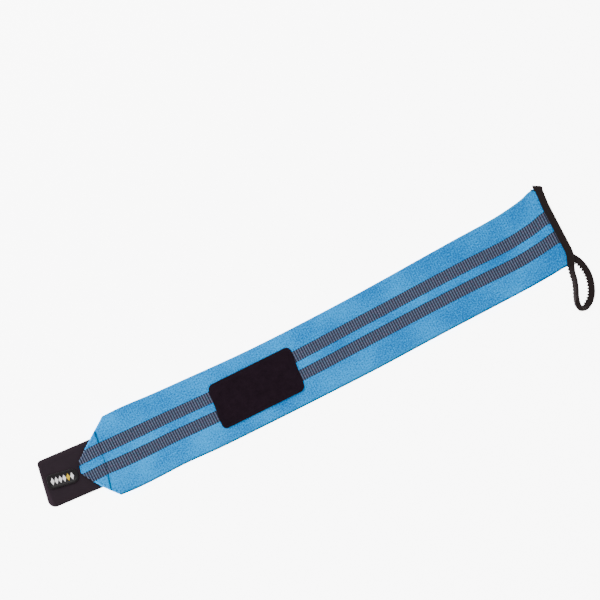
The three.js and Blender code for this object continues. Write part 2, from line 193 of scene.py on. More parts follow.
# Shapes of the cloth and the seams that the solids leave out
RIBS = 204  # ribs across the band, over its whole length
RIB_STEPS = 4
SKEW_RUN = 20 * MM  # over which the ribs' rows turn to lie along the blunt end
FOLD_TAPER = 0.1  # share of a fold over which it runs out at its shoulder
CLOTH_EDGE = 0.75 * MM  # radius of the cloth's edges
SELVEDGE = 1.3 * MM
STRIPE_MIDDLE = 10.4 * MM  # from the band's middle line to a stripe's
STRIPE_HALF = 6.1 * MM
SEAM_POINTS = ((30.2, 28.0), (26.1, -3.0), (17.8, -36.4))  # millimetres, along and across
SEAM_INSET = 2.6 * MM  # from a fold's edge to the seam beside it
PUFF_RUN = 7 * MM
LEAST_HOLLOW = 0.05 * MM  # radius inside a fold where it runs out
SEAM_GROOVE = 1.0 * MM  # half width of the groove across the point
FOLD_GROOVE = 0.8 * MM  # and of the grooves beside its folds
FOLD_GROOVE_DEPTH = 0.6  # a share of the groove's across the point
SHADE_GROOVE = 0.75 * MM  # half width of the dark line in it
SHADE_MIDDLE = -4 * MM  # sideways place where that line is lightest
SHADE_LIGHT = 11 * MM  # how far it stays so to each side
SHADE_RUN = 8 * MM  # over which it then darkens
SHADE_LEAST, SHADE_MORE = 0.40, 0.54  # shares of the light it takes: in its middle, added outside
SHADE_IN_STRIPE = 0.6
EDGE_LIGHT = 0.25  # share of the light left at the band's lower edge
EDGE_DARK = 0.9 * MM  # width of that edge, and of the run from it

# Shapes of the tab, its hooks, the label and the patch that the solids leave out
TAB_ROLL = 0.55 * MM  # how far the tab's edges curl down
TAB_ROLL_RUN = 3.6 * MM
TAB_RIPPLE = 0.12 * MM
# painted highlight: the tab's free end is drawn lighter, as where it curls up and catches the light
TAB_PAINTED_HIGHLIGHT = 0.7  # by how much its free end is lighter
TAB_HIGHLIGHT_RUN = 3.5 * MM
HOOK_STEM = 0.62  # height at which a hook starts to curl, a share of the hooks' height
HOOK_ROOT = 0.15 * MM  # how far it goes up into the tape
HOOK_CURL = 0.22 * MM
HOOK_RADIUS = 0.09 * MM
HOOK_LEAST = 0.1 * MM  # height of its lowest place
HOOK_END_MARGIN = 3 * MM
HOOK_SIDE_MARGIN = 2.5 * MM
LABEL_ROUND = 0.35 * MM  # radius of the rim's edges
LOZENGES = 6
ACCENT = 4  # the one of another colour
LOZENGE_HALF_LENGTH = 1.98 * MM
LOZENGE_HALF_WIDTH = 3.9 * MM
LOZENGE_MARGINS = (1.9 * MM, 3.1 * MM)  # from the rim to their row: at the free end, at the band
PATCH_SEAM = 2.6 * MM  # from the patch's edge to its seam
PATCH_GROOVE = 0.35 * MM
PATCH_GROOVE_WIDTH = 0.8 * MM
PATCH_FLAT = 0.25 * MM  # how much lower the pile lies outside the seam

# Shapes of the tapes that the solids leave out
BINDING_SPREAD = 1.28  # width of the binding as a share of its solid's
BINDING_LIFT = 0.4 * MM  # how far the binding sits outwards of its solid
TOP_LIFT = 1.7 * MM  # and how much more at its upper end
TOP_LIFT_RUN = 27 * MM
KNOB_DOWN = 3.0 * MM  # from the upper end to its thickest place
KNOB_RUN = 2.4 * MM
KNOB_SPREAD = 0.2
KNOB_SWELL = 0.18
SLANT = 0.55  # of the binding's upper end, for each length outwards
SLANT_AT = 2.4 * MM  # outwards of the binding's mouth, where the slant leaves the end as it is
SLANT_RUN = 4.5 * MM
LOOP_SPARE = 0.45 * MM  # how far each side of the flat tape lies outwards of its solid
LOOP_ROLL = 1.9  # share by which the tape is thicker where it stands on its edge
TOOTH_SPARE = 0.7 * MM  # how much deeper the scallops are than the solid's
TOOTH_DROP = 0.4 * MM  # how far the hollows between them lie inside its edge

# Stage
FLOOR_REACH = 3.0
FLOOR_GLOW = 7.5
SKY_LIGHT = 0.95
VIEW_TURN = math.radians(27.24)  # by which the band rises to the right
VIEW_ELEVATION = math.radians(86)
VIEW_WIDTH = 619.2 * MM
VIEW_TARGET = (22.5935 * MM, 75.4185 * MM, 2.0 * MM)
LENS, SENSOR = 220.0, 36.0  # millimetres


def length_property(name, description, default, least=0.0):
    """A length that a user can change, given in millimetres."""
    return bpy.props.FloatProperty(
        name=name, description=description, default=default * MM, min=least * MM, unit="LENGTH"
    )


class WrapSizes(bpy.types.PropertyGroup):
    """Sizes of the weave, the stitches and the trims."""

    rib_depth: length_property("Rib depth", "Depth between two ribs of the blue cloth", 0.16)
    bar_depth: length_property("Bar depth", "Depth between two bars of a stripe", 0.42)
    seam_depth: length_property("Seam depth", "How far a seam draws the cloth in", 0.5)
    puff: length_property("Puff", "How far the sewn point swells between its seams", 0.5)
    thread: length_property("Thread", "Thickness of the sewing thread", 0.55, 0.1)
    stitch: length_property("Stitch", "Length from one stitch to the next", 3.0, 1)
    pile: length_property("Pile", "Unevenness of the loop patch's pile", 0.07)
    hook: length_property("Hook", "Height of the hooks under the tab", 0.9, 0.2)
    hook_pitch: length_property("Hook pitch", "Distance between two hooks", 1.7, 1)


def colour_property(name, description, default):
    """A colour that a user can change, in linear light."""
    return bpy.props.FloatVectorProperty(
        name=name, description=description, default=default, size=4, min=0, max=1, subtype="COLOR"
    )


class WrapColours(bpy.types.PropertyGroup):
    """Colours of the cloths, tapes and threads."""

    blue: colour_property("Blue", "Crests of the blue cloth", (0.001, 0.415, 0.990, 1))
    deep_blue: colour_property("Deep blue", "Hollows of the blue cloth", (0.000, 0.120, 0.410, 1))
    bar: colour_property("Bar", "Light bars of the stripes", (0.115, 0.190, 0.290, 1))
    bar_tint: colour_property("Bar tint", "Warmer threads in the bars", (0.170, 0.160, 0.255, 1))
    gap: colour_property("Gap", "Dark gaps between the bars", (0.012, 0.015, 0.031, 1))
    selvedge: colour_property("Selvedge", "Edges of the band", (0.010, 0.300, 0.640, 1))
    tape: colour_property("Tape", "Binding and thumb loop", (0.017, 0.012, 0.012, 1))
    tab: colour_property("Tab", "Back of the hook tab", (0.019, 0.012, 0.017, 1))
    patch: colour_property("Patch", "Pile of the loop patch", (0.011, 0.006, 0.010, 1))
    rubber: colour_property("Rubber", "The label", (0.007, 0.005, 0.007, 1))
    emblem: colour_property("Emblem", "Lozenges on the label", (0.950, 0.930, 0.940, 1))
    accent: colour_property("Accent", "The one lozenge of another colour", (0.750, 0.520, 0.020, 1))
    thread: colour_property("Thread", "Sewing thread", (0.007, 0.007, 0.016, 1))
    blue_thread: colour_property("Blue thread", "Thread of the point's edges", (0.002, 0.050, 0.160, 1))


# Formulas of the band's form

def smooth(share):
    """Eases a share from 0 to 1, level at both ends."""
    t = np.clip(share, 0.0, 1.0)
    return t * t * (3 - 2 * t)


def bell(distance, width):
    """A bell curve: 1 at no distance, and falling off over its width."""
    return np.exp(-((distance / width) ** 2))


def reach_along(line):
    """How far along a line of points each of them lies."""
    return np.concatenate([[0], np.cumsum(np.linalg.norm(np.diff(line, axis=0), axis=1))])


def hermite(at, values, slope, where):
    """A curve through values at rising places: between each two a cubic with the slopes given."""
    i = np.clip(np.searchsorted(at, where, side="right") - 1, 0, len(at) - 2)
    wide = np.shape(i) + (1,) * (values.ndim - 1)
    span = (at[i + 1] - at[i]).reshape(wide)
    t = np.clip((where - at[i]).reshape(wide) / span, 0, 1)
    leave = t * (1 - t) ** 2 * span * slope[i]
    arrive = t * t * (t - 1) * span * slope[i + 1]
    return values[i] + (values[i + 1] - values[i]) * smooth(t) + leave + arrive


def band_column(name, x):
    """A smooth curve through one column of SECTIONS, with the slopes of the chords between the
    neighbours of each row."""
    rows, at = SECTIONS[name], SECTIONS["along"]
    last = len(rows) - 1
    ahead = np.minimum(np.arange(last + 1) + 1, last)
    behind = np.maximum(np.arange(last + 1) - 1, 0)
    slope = (rows[ahead] - rows[behind]) / (at[ahead] - at[behind])
    return hermite(at, rows, slope, np.asarray(x) / BAND_LENGTH)


def middle_line(x):
    """Sideways place of the band's middle."""
    return band_column("middle", x) * BAND_WIDTH


def edge_line(x, side):
    """Sideways place of an edge of the band: side is 1 for the upper edge, -1 for the lower."""
    return middle_line(x) + side * band_column("width", x) * BAND_WIDTH / 2


END_LOWER = float(edge_line(BAND_LENGTH, -1))
END_UPPER = float(edge_line(BAND_LENGTH, 1))
BINDING_TOP = END_UPPER + BINDING_PAST
BINDING_BOTTOM = END_LOWER - BINDING_PAST


def layout_origin():
    """Where the middle of the band's blunt end lies, from the frame's own band."""
    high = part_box("elastic_band")[1]
    return np.array([high.x - BAND_LENGTH, high.y - END_UPPER, 0.0])


ORIGIN = layout_origin()


def pull_at(y):
    """How far the bound end is drawn back at a sideways place."""
    return CORNER_PULL * np.maximum(0, (END_LOWER + PULL_RUN - y) / PULL_RUN) ** PULL_GROWTH


def underside(x, y):
    """Height of the cloth's underside: on the tab at the point, sagging beside it, down to the table
    past it, a little lifted at the edges further on, and raised into the binding."""
    past = smooth((x - TAB_TUCKED - CLEARANCE) / POINT_RUN)
    tab_line = TAB_MIDDLE + x * math.tan(TAB_TURN)
    beside = np.abs(y - tab_line) - TAB_WIDTH / 2 - 2 * CLEARANCE
    sag = POINT_DROOP * TAB_HEIGHT * smooth(beside / DROOP_RUN)
    on_tab = (POINT_HEIGHT - sag) * (1 - past)
    across = (y - middle_line(x)) / (BAND_WIDTH / 2)
    lift = np.where(across > 0, band_column("upper", x), band_column("lower", x))
    centre = band_column("centre", x) * np.maximum(0, 1 - across**2)
    wave = EDGE_LIFT * np.maximum(0, lift * across**2 + centre)
    from_patch = np.abs(x - PATCH_MIDDLE) - PATCH_LENGTH / 2 - PATCH_RADIUS
    free = smooth(from_patch / PATCH_MARGIN) * past
    into_binding = smooth((x - BAND_LENGTH + 2 * BINDING_WIDTH + END_RUN) / END_RUN)
    return on_tab + wave * free * (1 - into_binding) + END_HEIGHT * into_binding


def make_fold(side, shoulder, bow):
    """A fold of the point: a slightly bowed line from the blunt end to its shoulder, with the corner
    that is folded under it. lean slants its sections so that the first lies along the blunt end."""
    start = side / 2 * np.array([BLUNT_SKEW, BLUNT_WIDTH])
    end = np.array([shoulder, float(edge_line(shoulder, side))])
    length = float(np.linalg.norm(end - start))
    ahead = (end - start) / length
    out = side * np.array([-ahead[1], ahead[0]])
    tip = start * end[1] / start[1] - start
    return SimpleNamespace(
        side=side, shoulder=shoulder, bow=bow, start=start, length=length, ahead=ahead, out=out,
        tip_share=float(tip @ ahead) / length, depth=float(tip @ out),
        lean=float(start @ ahead) / float(start @ -out),
    )


def fold_point(fold, share):
    """Points on a fold's outer edge at shares of its length."""
    along = np.asarray(share)[..., None] * fold.length * fold.ahead
    bowed = fold.bow * np.sin(np.pi * np.asarray(share))[..., None] * fold.out
    return fold.start + along + bowed


FOLDS = {-1: make_fold(-1, LOWER_SHOULDER, LOWER_BOW), 1: make_fold(1, UPPER_SHOULDER, UPPER_BOW)}


def fold_distance(fold, x, y):
    """How far inside a fold's straight edge a place is."""
    return -((x - fold.start[0]) * fold.out[0] + (y - fold.start[1]) * fold.out[1])


def cloth_edge(fold, along):
    """The flat cloth's edge at nominal places along the band: inside the fold's round edge in the
    point, the band's own edge past the shoulder, and starting on the line of the blunt end."""
    share = np.linspace(-FOLD_TAPER, 1, 240)
    inset = FOLD_INSET * (1 - smooth((share - 1 + FOLD_TAPER) / FOLD_TAPER))
    line = fold_point(fold, share) - inset[:, None] * fold.out
    past_blunt = line[:, 0] - line[:, 1] * BLUNT_SKEW / BLUNT_WIDTH
    first = np.interp(0, past_blunt, line[:, 0])
    x = along + first * (1 - smooth(along / SKEW_RUN))
    in_point = np.interp(x, line[:, 0], line[:, 1])
    return x, np.where(x < fold.shoulder, in_point, edge_line(x, fold.side))


def cloth_place(x, y):
    """Place in the woven cloth itself, along and across, from a place in the layout: the stripes run
    at constant places across."""
    across = (y - middle_line(x) - band_column("stripes", x) * BAND_WIDTH) / band_column("width", x)
    return x, across


def seam_along(y):
    """Where the seam that closes the point crosses a sideways place: a parabola through its three
    named points."""
    x, at = np.array(SEAM_POINTS).T * MM
    return np.polyval(np.polyfit(at, x, 2), y)


def rib(along):
    """1 on the crest of a rib and 0 in the hollow between two."""
    return 0.5 + 0.5 * np.cos(2 * np.pi * along * RIBS / BAND_LENGTH)


def weave_relief(sizes, along, across):
    """How far the cloth's face lies below its crests: shallow between the ribs of the ground, deeper
    between the bars of the stripes."""
    in_stripe = np.abs(np.abs(across) - STRIPE_MIDDLE) < STRIPE_HALF + 0.3 * MM
    depth = np.where(in_stripe, sizes.bar_depth, sizes.rib_depth)
    return -depth * (1 - rib(along))


def seam_shade(x, y):
    """Share of the light left in the seam across the point: darkest where it nears the folds."""
    near = bell(x - seam_along(y), SHADE_GROOVE)
    ends = smooth((np.abs(y - SHADE_MIDDLE) - SHADE_LIGHT) / SHADE_RUN)
    in_stripe = np.abs(np.abs(cloth_place(x, y)[1]) - STRIPE_MIDDLE) < STRIPE_HALF
    return 1 - near * (SHADE_LEAST + SHADE_MORE * ends) * np.where(in_stripe, SHADE_IN_STRIPE, 1.0)


def seam_relief(sizes, x, y):
    """The point's seams draw the cloth in, as narrow bell-shaped grooves, and between them it swells."""
    ahead = x - seam_along(y)
    inside = [fold_distance(fold, x, y) for fold in FOLDS.values()]
    beside = sum(bell(d - SEAM_INSET, FOLD_GROOVE) for d in inside)
    swell = smooth(-ahead / PUFF_RUN)
    for distance in inside:
        swell = swell * smooth((distance - SEAM_INSET) / PUFF_RUN)
    grooves = bell(ahead, SEAM_GROOVE) + FOLD_GROOVE_DEPTH * beside * (ahead < 0)
    return sizes.puff * swell - sizes.seam_depth * grooves


# Meshes from arrays of points

def surface(points, faces, uv=None, shade=None):
    """One closed surface: its points, its faces as arrays of three or four corners, and for each
    point a place in the material's own coordinates and a factor of painted light: below 1 for
    painted shade in its seams, above 1 for a painted highlight.
    Faces are turned outwards by the signed volume."""
    volume = 0.0
    for corners in faces:
        a = points[corners[:, 0]]
        for i in range(1, corners.shape[1] - 1):
            b, c = points[corners[:, i]], points[corners[:, i + 1]]
            volume += float(np.einsum("ij,ij->", a, np.cross(b, c)))
    if volume < 0:
        faces = [corners[:, ::-1] for corners in faces]
    uv = points[:, :2] if uv is None else uv
    shade = np.ones(len(points)) if shade is None else shade
    return SimpleNamespace(points=points, faces=faces, uv=uv, shade=shade)


def grid_quads(index):
    """Quads between the neighbours in a grid of point numbers."""
    return np.stack([index[:-1, :-1], index[:-1, 1:], index[1:, 1:], index[1:, :-1]], -1).reshape(-1, 4)


def plate(x, y, top, bottom, uv, shade=None):
    """A plate between two heights over one grid of places, with walls round its border."""
    rows, columns = x.shape
    count = rows * columns
    upper = np.arange(count).reshape(rows, columns)
    border = np.concatenate([upper[0], upper[1:, -1], upper[-1, -2::-1], upper[-2:0:-1, 0]])
    wall = np.stack([border, np.roll(border, -1)])
    walls = np.stack([wall[0], wall[0] + count, wall[1] + count, wall[1]], -1)
    points = np.concatenate([
        np.stack([x, y, top], -1).reshape(-1, 3), np.stack([x, y, bottom], -1).reshape(-1, 3)
    ])
    faces = [np.concatenate([grid_quads(upper), grid_quads(upper)[:, ::-1] + count, walls])]
    shade = None if shade is None else np.concatenate([shade.ravel(), np.ones(count)])
    return surface(points, faces, np.concatenate([uv.reshape(-1, 2)] * 2), shade)


def ring_quads(rings):
    """Quads between the neighbours in rings of points, all the way round."""
    index = np.arange(rings.shape[0] * rings.shape[1]).reshape(rings.shape[:2])
    return grid_quads(np.concatenate([index, index[:, :1]], 1))


def sweep(rings, uv=None, shade=None):
    """A closed solid through rings of points that go round it, with an even number of points in
    each. Its ends are closed by rungs from one side of a ring to the other."""
    count, around = rings.shape[:2]
    step = np.arange(1, around // 2 - 1)
    rungs = np.stack([step, step + 1, around - step - 1, around - step], -1)
    half = around // 2
    tips = np.array([[0, 1, around - 1], [half - 1, half, half + 1]])
    last = (count - 1) * around
    quads = np.concatenate([ring_quads(rings), rungs[:, ::-1], rungs + last])
    triangles = np.concatenate([tips[:, ::-1], tips + last])
    flat_uv = None if uv is None else uv.reshape(-1, 2)
    flat_shade = None if shade is None else shade.ravel()
    return surface(rings.reshape(-1, 3), [quads, triangles], flat_uv, flat_shade)


def threads(lines, radii, sides=6):
    """Many round threads at once: each runs along its line of points, as thick as radii say there.
    The lines are an array of thread, point and coordinate."""
    ahead = np.gradient(lines, axis=1)
    ahead /= np.linalg.norm(ahead, axis=-1, keepdims=True)
    beside = np.cross(ahead, [0.0, 0.0, 1.0])
    flat = np.linalg.norm(beside, axis=-1, keepdims=True) < 1e-3
    beside = np.where(flat, np.cross(ahead, [0.0, 1.0, 0.0]), beside)
    beside /= np.linalg.norm(beside, axis=-1, keepdims=True)
    above = np.cross(beside, ahead)
    angle = np.linspace(0, 2 * np.pi, sides, endpoint=False)
    spoke = (
        np.cos(angle)[:, None] * beside[:, :, None, :] + np.sin(angle)[:, None] * above[:, :, None, :]
    )
    rings = lines[:, :, None, :] + radii[..., None, None] * spoke
    count, steps = lines.shape[:2]
    one = sweep(rings[0])
    offset = (np.arange(count) * steps * sides)[:, None, None]
    faces = [(corners[None] + offset).reshape(-1, corners.shape[1]) for corners in one.faces]
    along = np.cumsum(np.linalg.norm(np.diff(lines, axis=1, prepend=lines[:, :1]), axis=-1), 1)
    uv = np.stack(np.broadcast_arrays(along[..., None], angle * MM), -1)
    return surface(rings.reshape(-1, 3), faces, uv.reshape(-1, 2))


def spaced(line, count):
    """The same line of points, resampled at a count of even steps along it, and those steps."""
    reach = reach_along(line[:, :2])
    even = np.linspace(0, reach[-1], count)
    return np.stack([np.interp(even, reach, column) for column in line.T], -1), even


def stitches(line, sizes, filled=0.72, thick=0.8):
    """A row of stitches along a line on a face, thick being a share of the thread's thickness: each
    runs over the filled share of the pitch, rises in the middle and dives into the cloth."""
    reach = reach_along(line)
    count = max(1, int(reach[-1] / sizes.stitch))
    pitch = reach[-1] / count
    t = np.linspace(0, 1, 7)
    at = (np.arange(count)[:, None] + 0.5 + (t - 0.5) * filled) * pitch
    lines = np.stack([np.interp(at, reach, line[:, i]) for i in range(3)], -1)
    radius = thick * sizes.thread / 2
    lines[..., 2] += radius * 1.5 * np.sin(np.pi * t) ** 0.7 - radius
    return threads(lines, np.broadcast_to(radius * (0.6 + 0.4 * np.sin(np.pi * t)), (count, len(t))))


def new_object(name, data):
    """A new object in the scene."""
    made = bpy.data.objects.new(name, data)
    bpy.context.scene.collection.objects.link(made)
    return made


def add_piece(name, surfaces, finish, stands_for=(), crease=60):
    """Makes one piece from closed surfaces, moves it from the layout to the frame and lets it ride
    there. crease is the angle in degrees past which an edge stays sharp."""
    points, faces, uvs, shades, offset = [], [], [], [], 0
    for one in surfaces:
        points.append(one.points + ORIGIN)
        uvs.append(one.uv)
        shades.append(one.shade)
        for corners in one.faces:
            faces += (corners + offset).tolist()
        offset += len(one.points)
    mesh = bpy.data.meshes.new(name)
    mesh.from_pydata(np.concatenate(points).tolist(), [], faces)
    corner_points = np.empty(len(mesh.loops), np.int32)
    mesh.loops.foreach_get("vertex_index", corner_points)
    layer = mesh.uv_layers.new(name="cloth")
    layer.data.foreach_set("uv", np.concatenate(uvs)[corner_points].astype(np.float32).ravel())
    # painted light and shade for each point, which the finishes multiply into their colour
    shade = mesh.attributes.new("shade", "FLOAT", "POINT")
    shade.data.foreach_set("value", np.concatenate(shades).astype(np.float32))
    mesh.polygons.foreach_set("use_smooth", np.ones(len(mesh.polygons), bool))
    mesh.set_sharp_from_angle(angle=math.radians(crease))
    mesh.materials.append(finish)
    mesh.validate()
    mesh.update()
    piece = new_object(name, mesh)
    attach(piece, "root")
    if stands_for:
        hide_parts(*stands_for)
    return piece


# Finishes

def scaled(colour, share):
    """A colour made darker or lighter by a share."""
    return tuple(share * part for part in colour[:3]) + (1.0,)


class Finish:
    """A material whose nodes are added one after another. Each method returns an output socket."""

    def __init__(self, name, **sockets):
        self.material = bpy.data.materials.new(name)
        self.material.use_nodes = True
        self.tree = self.material.node_tree
        self.shader = self.tree.nodes["Principled BSDF"]
        for key, value in sockets.items():
            self.shader.inputs[key.replace("_", " ")].default_value = value

    def node(self, kind, inputs=(), **settings):
        """Adds a node. inputs holds pairs of a socket's name or number and its value or source."""
        node = self.tree.nodes.new(kind)
        for key, value in settings.items():
            setattr(node, key, value)
        for key, value in inputs:
            if isinstance(value, bpy.types.NodeSocket):
                self.tree.links.new(value, node.inputs[key])
            else:
                node.inputs[key].default_value = value
        return node

    def maths(self, operation, *values, clamp=False):
        """One sum of sockets or numbers."""
        node = self.node("ShaderNodeMath", enumerate(values), operation=operation, use_clamp=clamp)
        return node.outputs[0]

    def mix(self, share, a, b):
        """A blend of two colours."""
        inputs = ((0, share), (6, a), (7, b))
        return self.node("ShaderNodeMix", inputs, data_type="RGBA", clamp_factor=True).outputs[2]

    def noise(self, vector, scale, detail=2.0):
        """Even noise, mostly between 0.3 and 0.7."""
        inputs = (("Vector", vector), ("Scale", scale), ("Detail", detail))
        return self.node("ShaderNodeTexNoise", inputs).outputs[0]

    def places(self, name="UV"):
        """The piece's own map, or with Object its place in the frame."""
        return self.node("ShaderNodeTexCoord").outputs[name]

    def split(self, vector):
        """The three parts of a place."""
        return self.node("ShaderNodeSeparateXYZ", ((0, vector),)).outputs

    def joined(self, x, y):
        """A place from two parts."""
        return self.node("ShaderNodeCombineXYZ", ((0, x), (1, y))).outputs[0]

    def wave(self, value, pitch, shift=0.0):
        """A cosine wave from 0 to 1 with its crests pitch apart."""
        turned = self.maths("MULTIPLY_ADD", value, 2 * math.pi / pitch, shift)
        return self.maths("MULTIPLY_ADD", self.maths("COSINE", turned), 0.5, 0.5)

    def edge(self, value, middle, width):
        """0 well below middle and 1 well above it."""
        shifted = self.maths("SUBTRACT", value, middle)
        return self.maths("MULTIPLY_ADD", shifted, 1 / width, 0.5, clamp=True)

    def colour(self, socket):
        """The colour, scaled by the painted light and shade in the piece's points: darker in painted
        shade, lighter in a painted highlight.
        """
        shade = self.node("ShaderNodeAttribute", attribute_name="shade").outputs["Fac"]
        inputs = ((0, socket), ("Scale", shade))
        shaded = self.node("ShaderNodeVectorMath", inputs, operation="SCALE").outputs[0]
        self.tree.links.new(shaded, self.shader.inputs["Base Color"])

    def bump(self, *heights):
        """Heights in metres with their sockets from 0 to 1, one over another."""
        normal = None
        for socket, distance in heights:
            inputs = [("Height", socket), ("Distance", distance), ("Strength", 1.0)]
            if normal is not None:
                inputs.append(("Normal", normal))
            normal = self.node("ShaderNodeBump", inputs).outputs[0]
        self.tree.links.new(normal, self.shader.inputs["Normal"])


def elastic_finish(colours):
    """Woven elastic: fine warp grains on cross ribs, and two stripes of light bars over dark gaps
    whose ends make a toothed edge."""
    f = Finish("woven elastic", Roughness=0.85, Specular_IOR_Level=0.03)
    cloth = f.places()
    along, across, _ = f.split(cloth)
    pitch = BAND_LENGTH / RIBS
    crest = f.wave(along, pitch)
    slanted = f.maths("MULTIPLY", across, 0.7)
    knit = f.maths("MULTIPLY", f.wave(f.maths("ADD", along, slanted), pitch / 2),
                   f.wave(f.maths("SUBTRACT", along, slanted), pitch / 2))
    heather = f.noise(f.joined(f.maths("MULTIPLY", along, 1.4), across), 640.0, 3.0)
    cloudy = f.noise(cloth, 22.0)
    grain = f.maths("ADD", f.maths("MULTIPLY", crest, 0.22), f.maths("MULTIPLY", knit, 0.60))
    tone = f.maths("MULTIPLY_ADD", heather, 3.4, f.maths("SUBTRACT", grain, 1.46))
    # a fixed offset of the tone, and painted shade: the blue ground darkens along the band towards the
    # bound end, as if the light fell off there
    painted_falloff = f.maths("MULTIPLY_ADD", along, 0.16 / BAND_LENGTH, 0.65)
    tone = f.maths("MULTIPLY_ADD", cloudy, 1.4, f.maths("SUBTRACT", tone, painted_falloff), clamp=True)
    ground = f.mix(tone, tuple(colours.deep_blue), tuple(colours.blue))
    from_middle = f.maths("ABSOLUTE", across)
    inside = f.maths("ABSOLUTE", f.maths("SUBTRACT", from_middle, STRIPE_MIDDLE))
    teeth = f.maths("MULTIPLY_ADD", crest, -0.6 * MM, STRIPE_HALF + 0.35 * MM)
    stripe = f.maths("SUBTRACT", 1.0, f.edge(f.maths("SUBTRACT", inside, teeth), 0.0, 0.35 * MM))
    threads_tone = f.noise(f.joined(along, f.maths("MULTIPLY", across, 2.5)), 700.0)
    cords = f.maths("MULTIPLY_ADD", f.wave(across, 3.1 * MM, 1.2), 0.3, 0.7)
    bars = f.maths("MULTIPLY", f.edge(crest, 0.5, 0.8), f.maths("MULTIPLY_ADD", threads_tone, 2.6, -0.45))
    bars = f.maths("MULTIPLY", bars, cords, clamp=True)
    dyed = f.edge(f.noise(f.joined(along, f.maths("MULTIPLY", across, 2.0)), 380.0, 1.0), 0.5, 0.2)
    bar = f.mix(dyed, tuple(colours.bar), tuple(colours.bar_tint))
    border = f.maths("MULTIPLY_ADD", f.edge(inside, STRIPE_HALF - 0.5 * MM, 0.8 * MM), -0.6, 1.0)
    bar_colour = f.mix(f.maths("MULTIPLY", bars, border), tuple(colours.gap), bar)
    selvedge = f.edge(from_middle, BAND_WIDTH / 2 - SELVEDGE, 0.4 * MM)
    colour = f.mix(stripe, ground, bar_colour)
    colour = f.mix(f.maths("MULTIPLY", selvedge, 0.6), colour, tuple(colours.selvedge))
    f.colour(colour)
    f.bump((knit, 0.12 * MM), (heather, 0.10 * MM))
    return f.material


def tape_finish(colours):
    """Dark knitted tape: fine ribs across, cords along and a little lint."""
    f = Finish("knitted tape", Roughness=0.8, Specular_IOR_Level=0.06, Sheen_Weight=0.02)
    cloth = f.places()
    along, across, _ = f.split(cloth)
    ribs = f.wave(along, 0.9 * MM)
    cords = f.wave(across, 1.3 * MM)
    lint = f.noise(cloth, 1100.0, 3.0)
    tone = f.maths("MULTIPLY_ADD", lint, 0.8, f.maths("MULTIPLY", ribs, 0.2), clamp=True)
    f.colour(f.mix(tone, scaled(colours.tape, 0.55), scaled(colours.tape, 1.5)))
    f.bump((ribs, 0.08 * MM), (cords, 0.10 * MM), (lint, 0.10 * MM))
    return f.material


def pile_finish(colours):
    """Short loop pile: dense dark tufts with lighter tips."""
    f = Finish("loop pile", Roughness=0.95, Specular_IOR_Level=0.02, Sheen_Weight=0.02)
    place = f.places("Object")
    tufts = f.noise(place, 1800.0, 3.0)
    brushed = f.noise(place, 160.0)
    tone = f.maths("MULTIPLY_ADD", tufts, 0.9, f.maths("MULTIPLY_ADD", brushed, 0.5, -0.25), clamp=True)
    f.colour(f.mix(tone, scaled(colours.patch, 0.4), scaled(colours.patch, 1.9)))
    f.bump((brushed, 0.2 * MM), (tufts, 0.25 * MM))
    return f.material


def tab_finish(colours):
    """The smooth back of hook tape: a fine twill with a soft sheen."""
    f = Finish("hook tape back", Roughness=0.6, Specular_IOR_Level=0.08, Sheen_Weight=0.02)
    cloth = f.places()
    along, across, _ = f.split(cloth)
    twill = f.wave(f.maths("ADD", along, across), 0.8 * MM)
    lint = f.noise(cloth, 1300.0, 3.0)
    soft = f.noise(cloth, 60.0)
    tone = f.maths("MULTIPLY_ADD", lint, 0.6, f.maths("MULTIPLY", soft, 0.4), clamp=True)
    f.colour(f.mix(tone, scaled(colours.tab, 0.65), scaled(colours.tab, 1.4)))
    f.bump((soft, 0.15 * MM), (twill, 0.04 * MM), (lint, 0.08 * MM))
    return f.material


def rubber_finish(name, colour, roughness):
    """Moulded rubber with a faint skin."""
    f = Finish(name, Roughness=roughness, Specular_IOR_Level=0.2)
    place = f.places("Object")
    mottle = f.noise(place, 220.0)
    skin = f.noise(place, 2600.0)
    f.colour(f.mix(mottle, scaled(colour, 0.8), scaled(colour, 1.0)))
    f.bump((skin, 0.03 * MM))
    return f.material


def thread_finish(name, colour):
    """Sewing thread with its twist."""
    f = Finish(name, Roughness=0.6, Specular_IOR_Level=0.1)
    along, around, _ = f.split(f.places())
    twist = f.wave(f.maths("MULTIPLY_ADD", around, 0.12, along), 0.7 * MM)
    f.colour(f.mix(twist, scaled(colour, 0.6), scaled(colour, 1.8)))
    f.bump((twist, 0.05 * MM))
    return f.material


# Elastic band

def band_rows():
    """Nominal places along the band, so many to each rib."""
    return np.linspace(0, BAND_LENGTH, RIBS * RIB_STEPS + 1)


def band_columns():
    """Shares of the way across, close together at the edges and round the stripes."""
    inner, outer = STRIPE_MIDDLE - STRIPE_HALF, STRIPE_MIDDLE + STRIPE_HALF
    half = BAND_WIDTH / 2
    side = np.concatenate([
        np.linspace(0, inner - 0.4 * MM, 4),
        np.linspace(inner, outer, 7),
        np.linspace(outer + 0.4 * MM, half - 2 * SELVEDGE, 8),
        half - np.array([SELVEDGE, CLOTH_EDGE, 0.4 * CLOTH_EDGE, 0.1 * CLOTH_EDGE, 0]),
    ])
    return 0.5 + np.concatenate([-side[:0:-1], side]) / BAND_WIDTH


def rounded_drop(inside, radius):
    """How far a face has dropped at a distance inside its edge, on a quarter circle."""
    short = np.clip(radius - inside, 0, radius)
    return radius - np.sqrt(radius**2 - short**2)


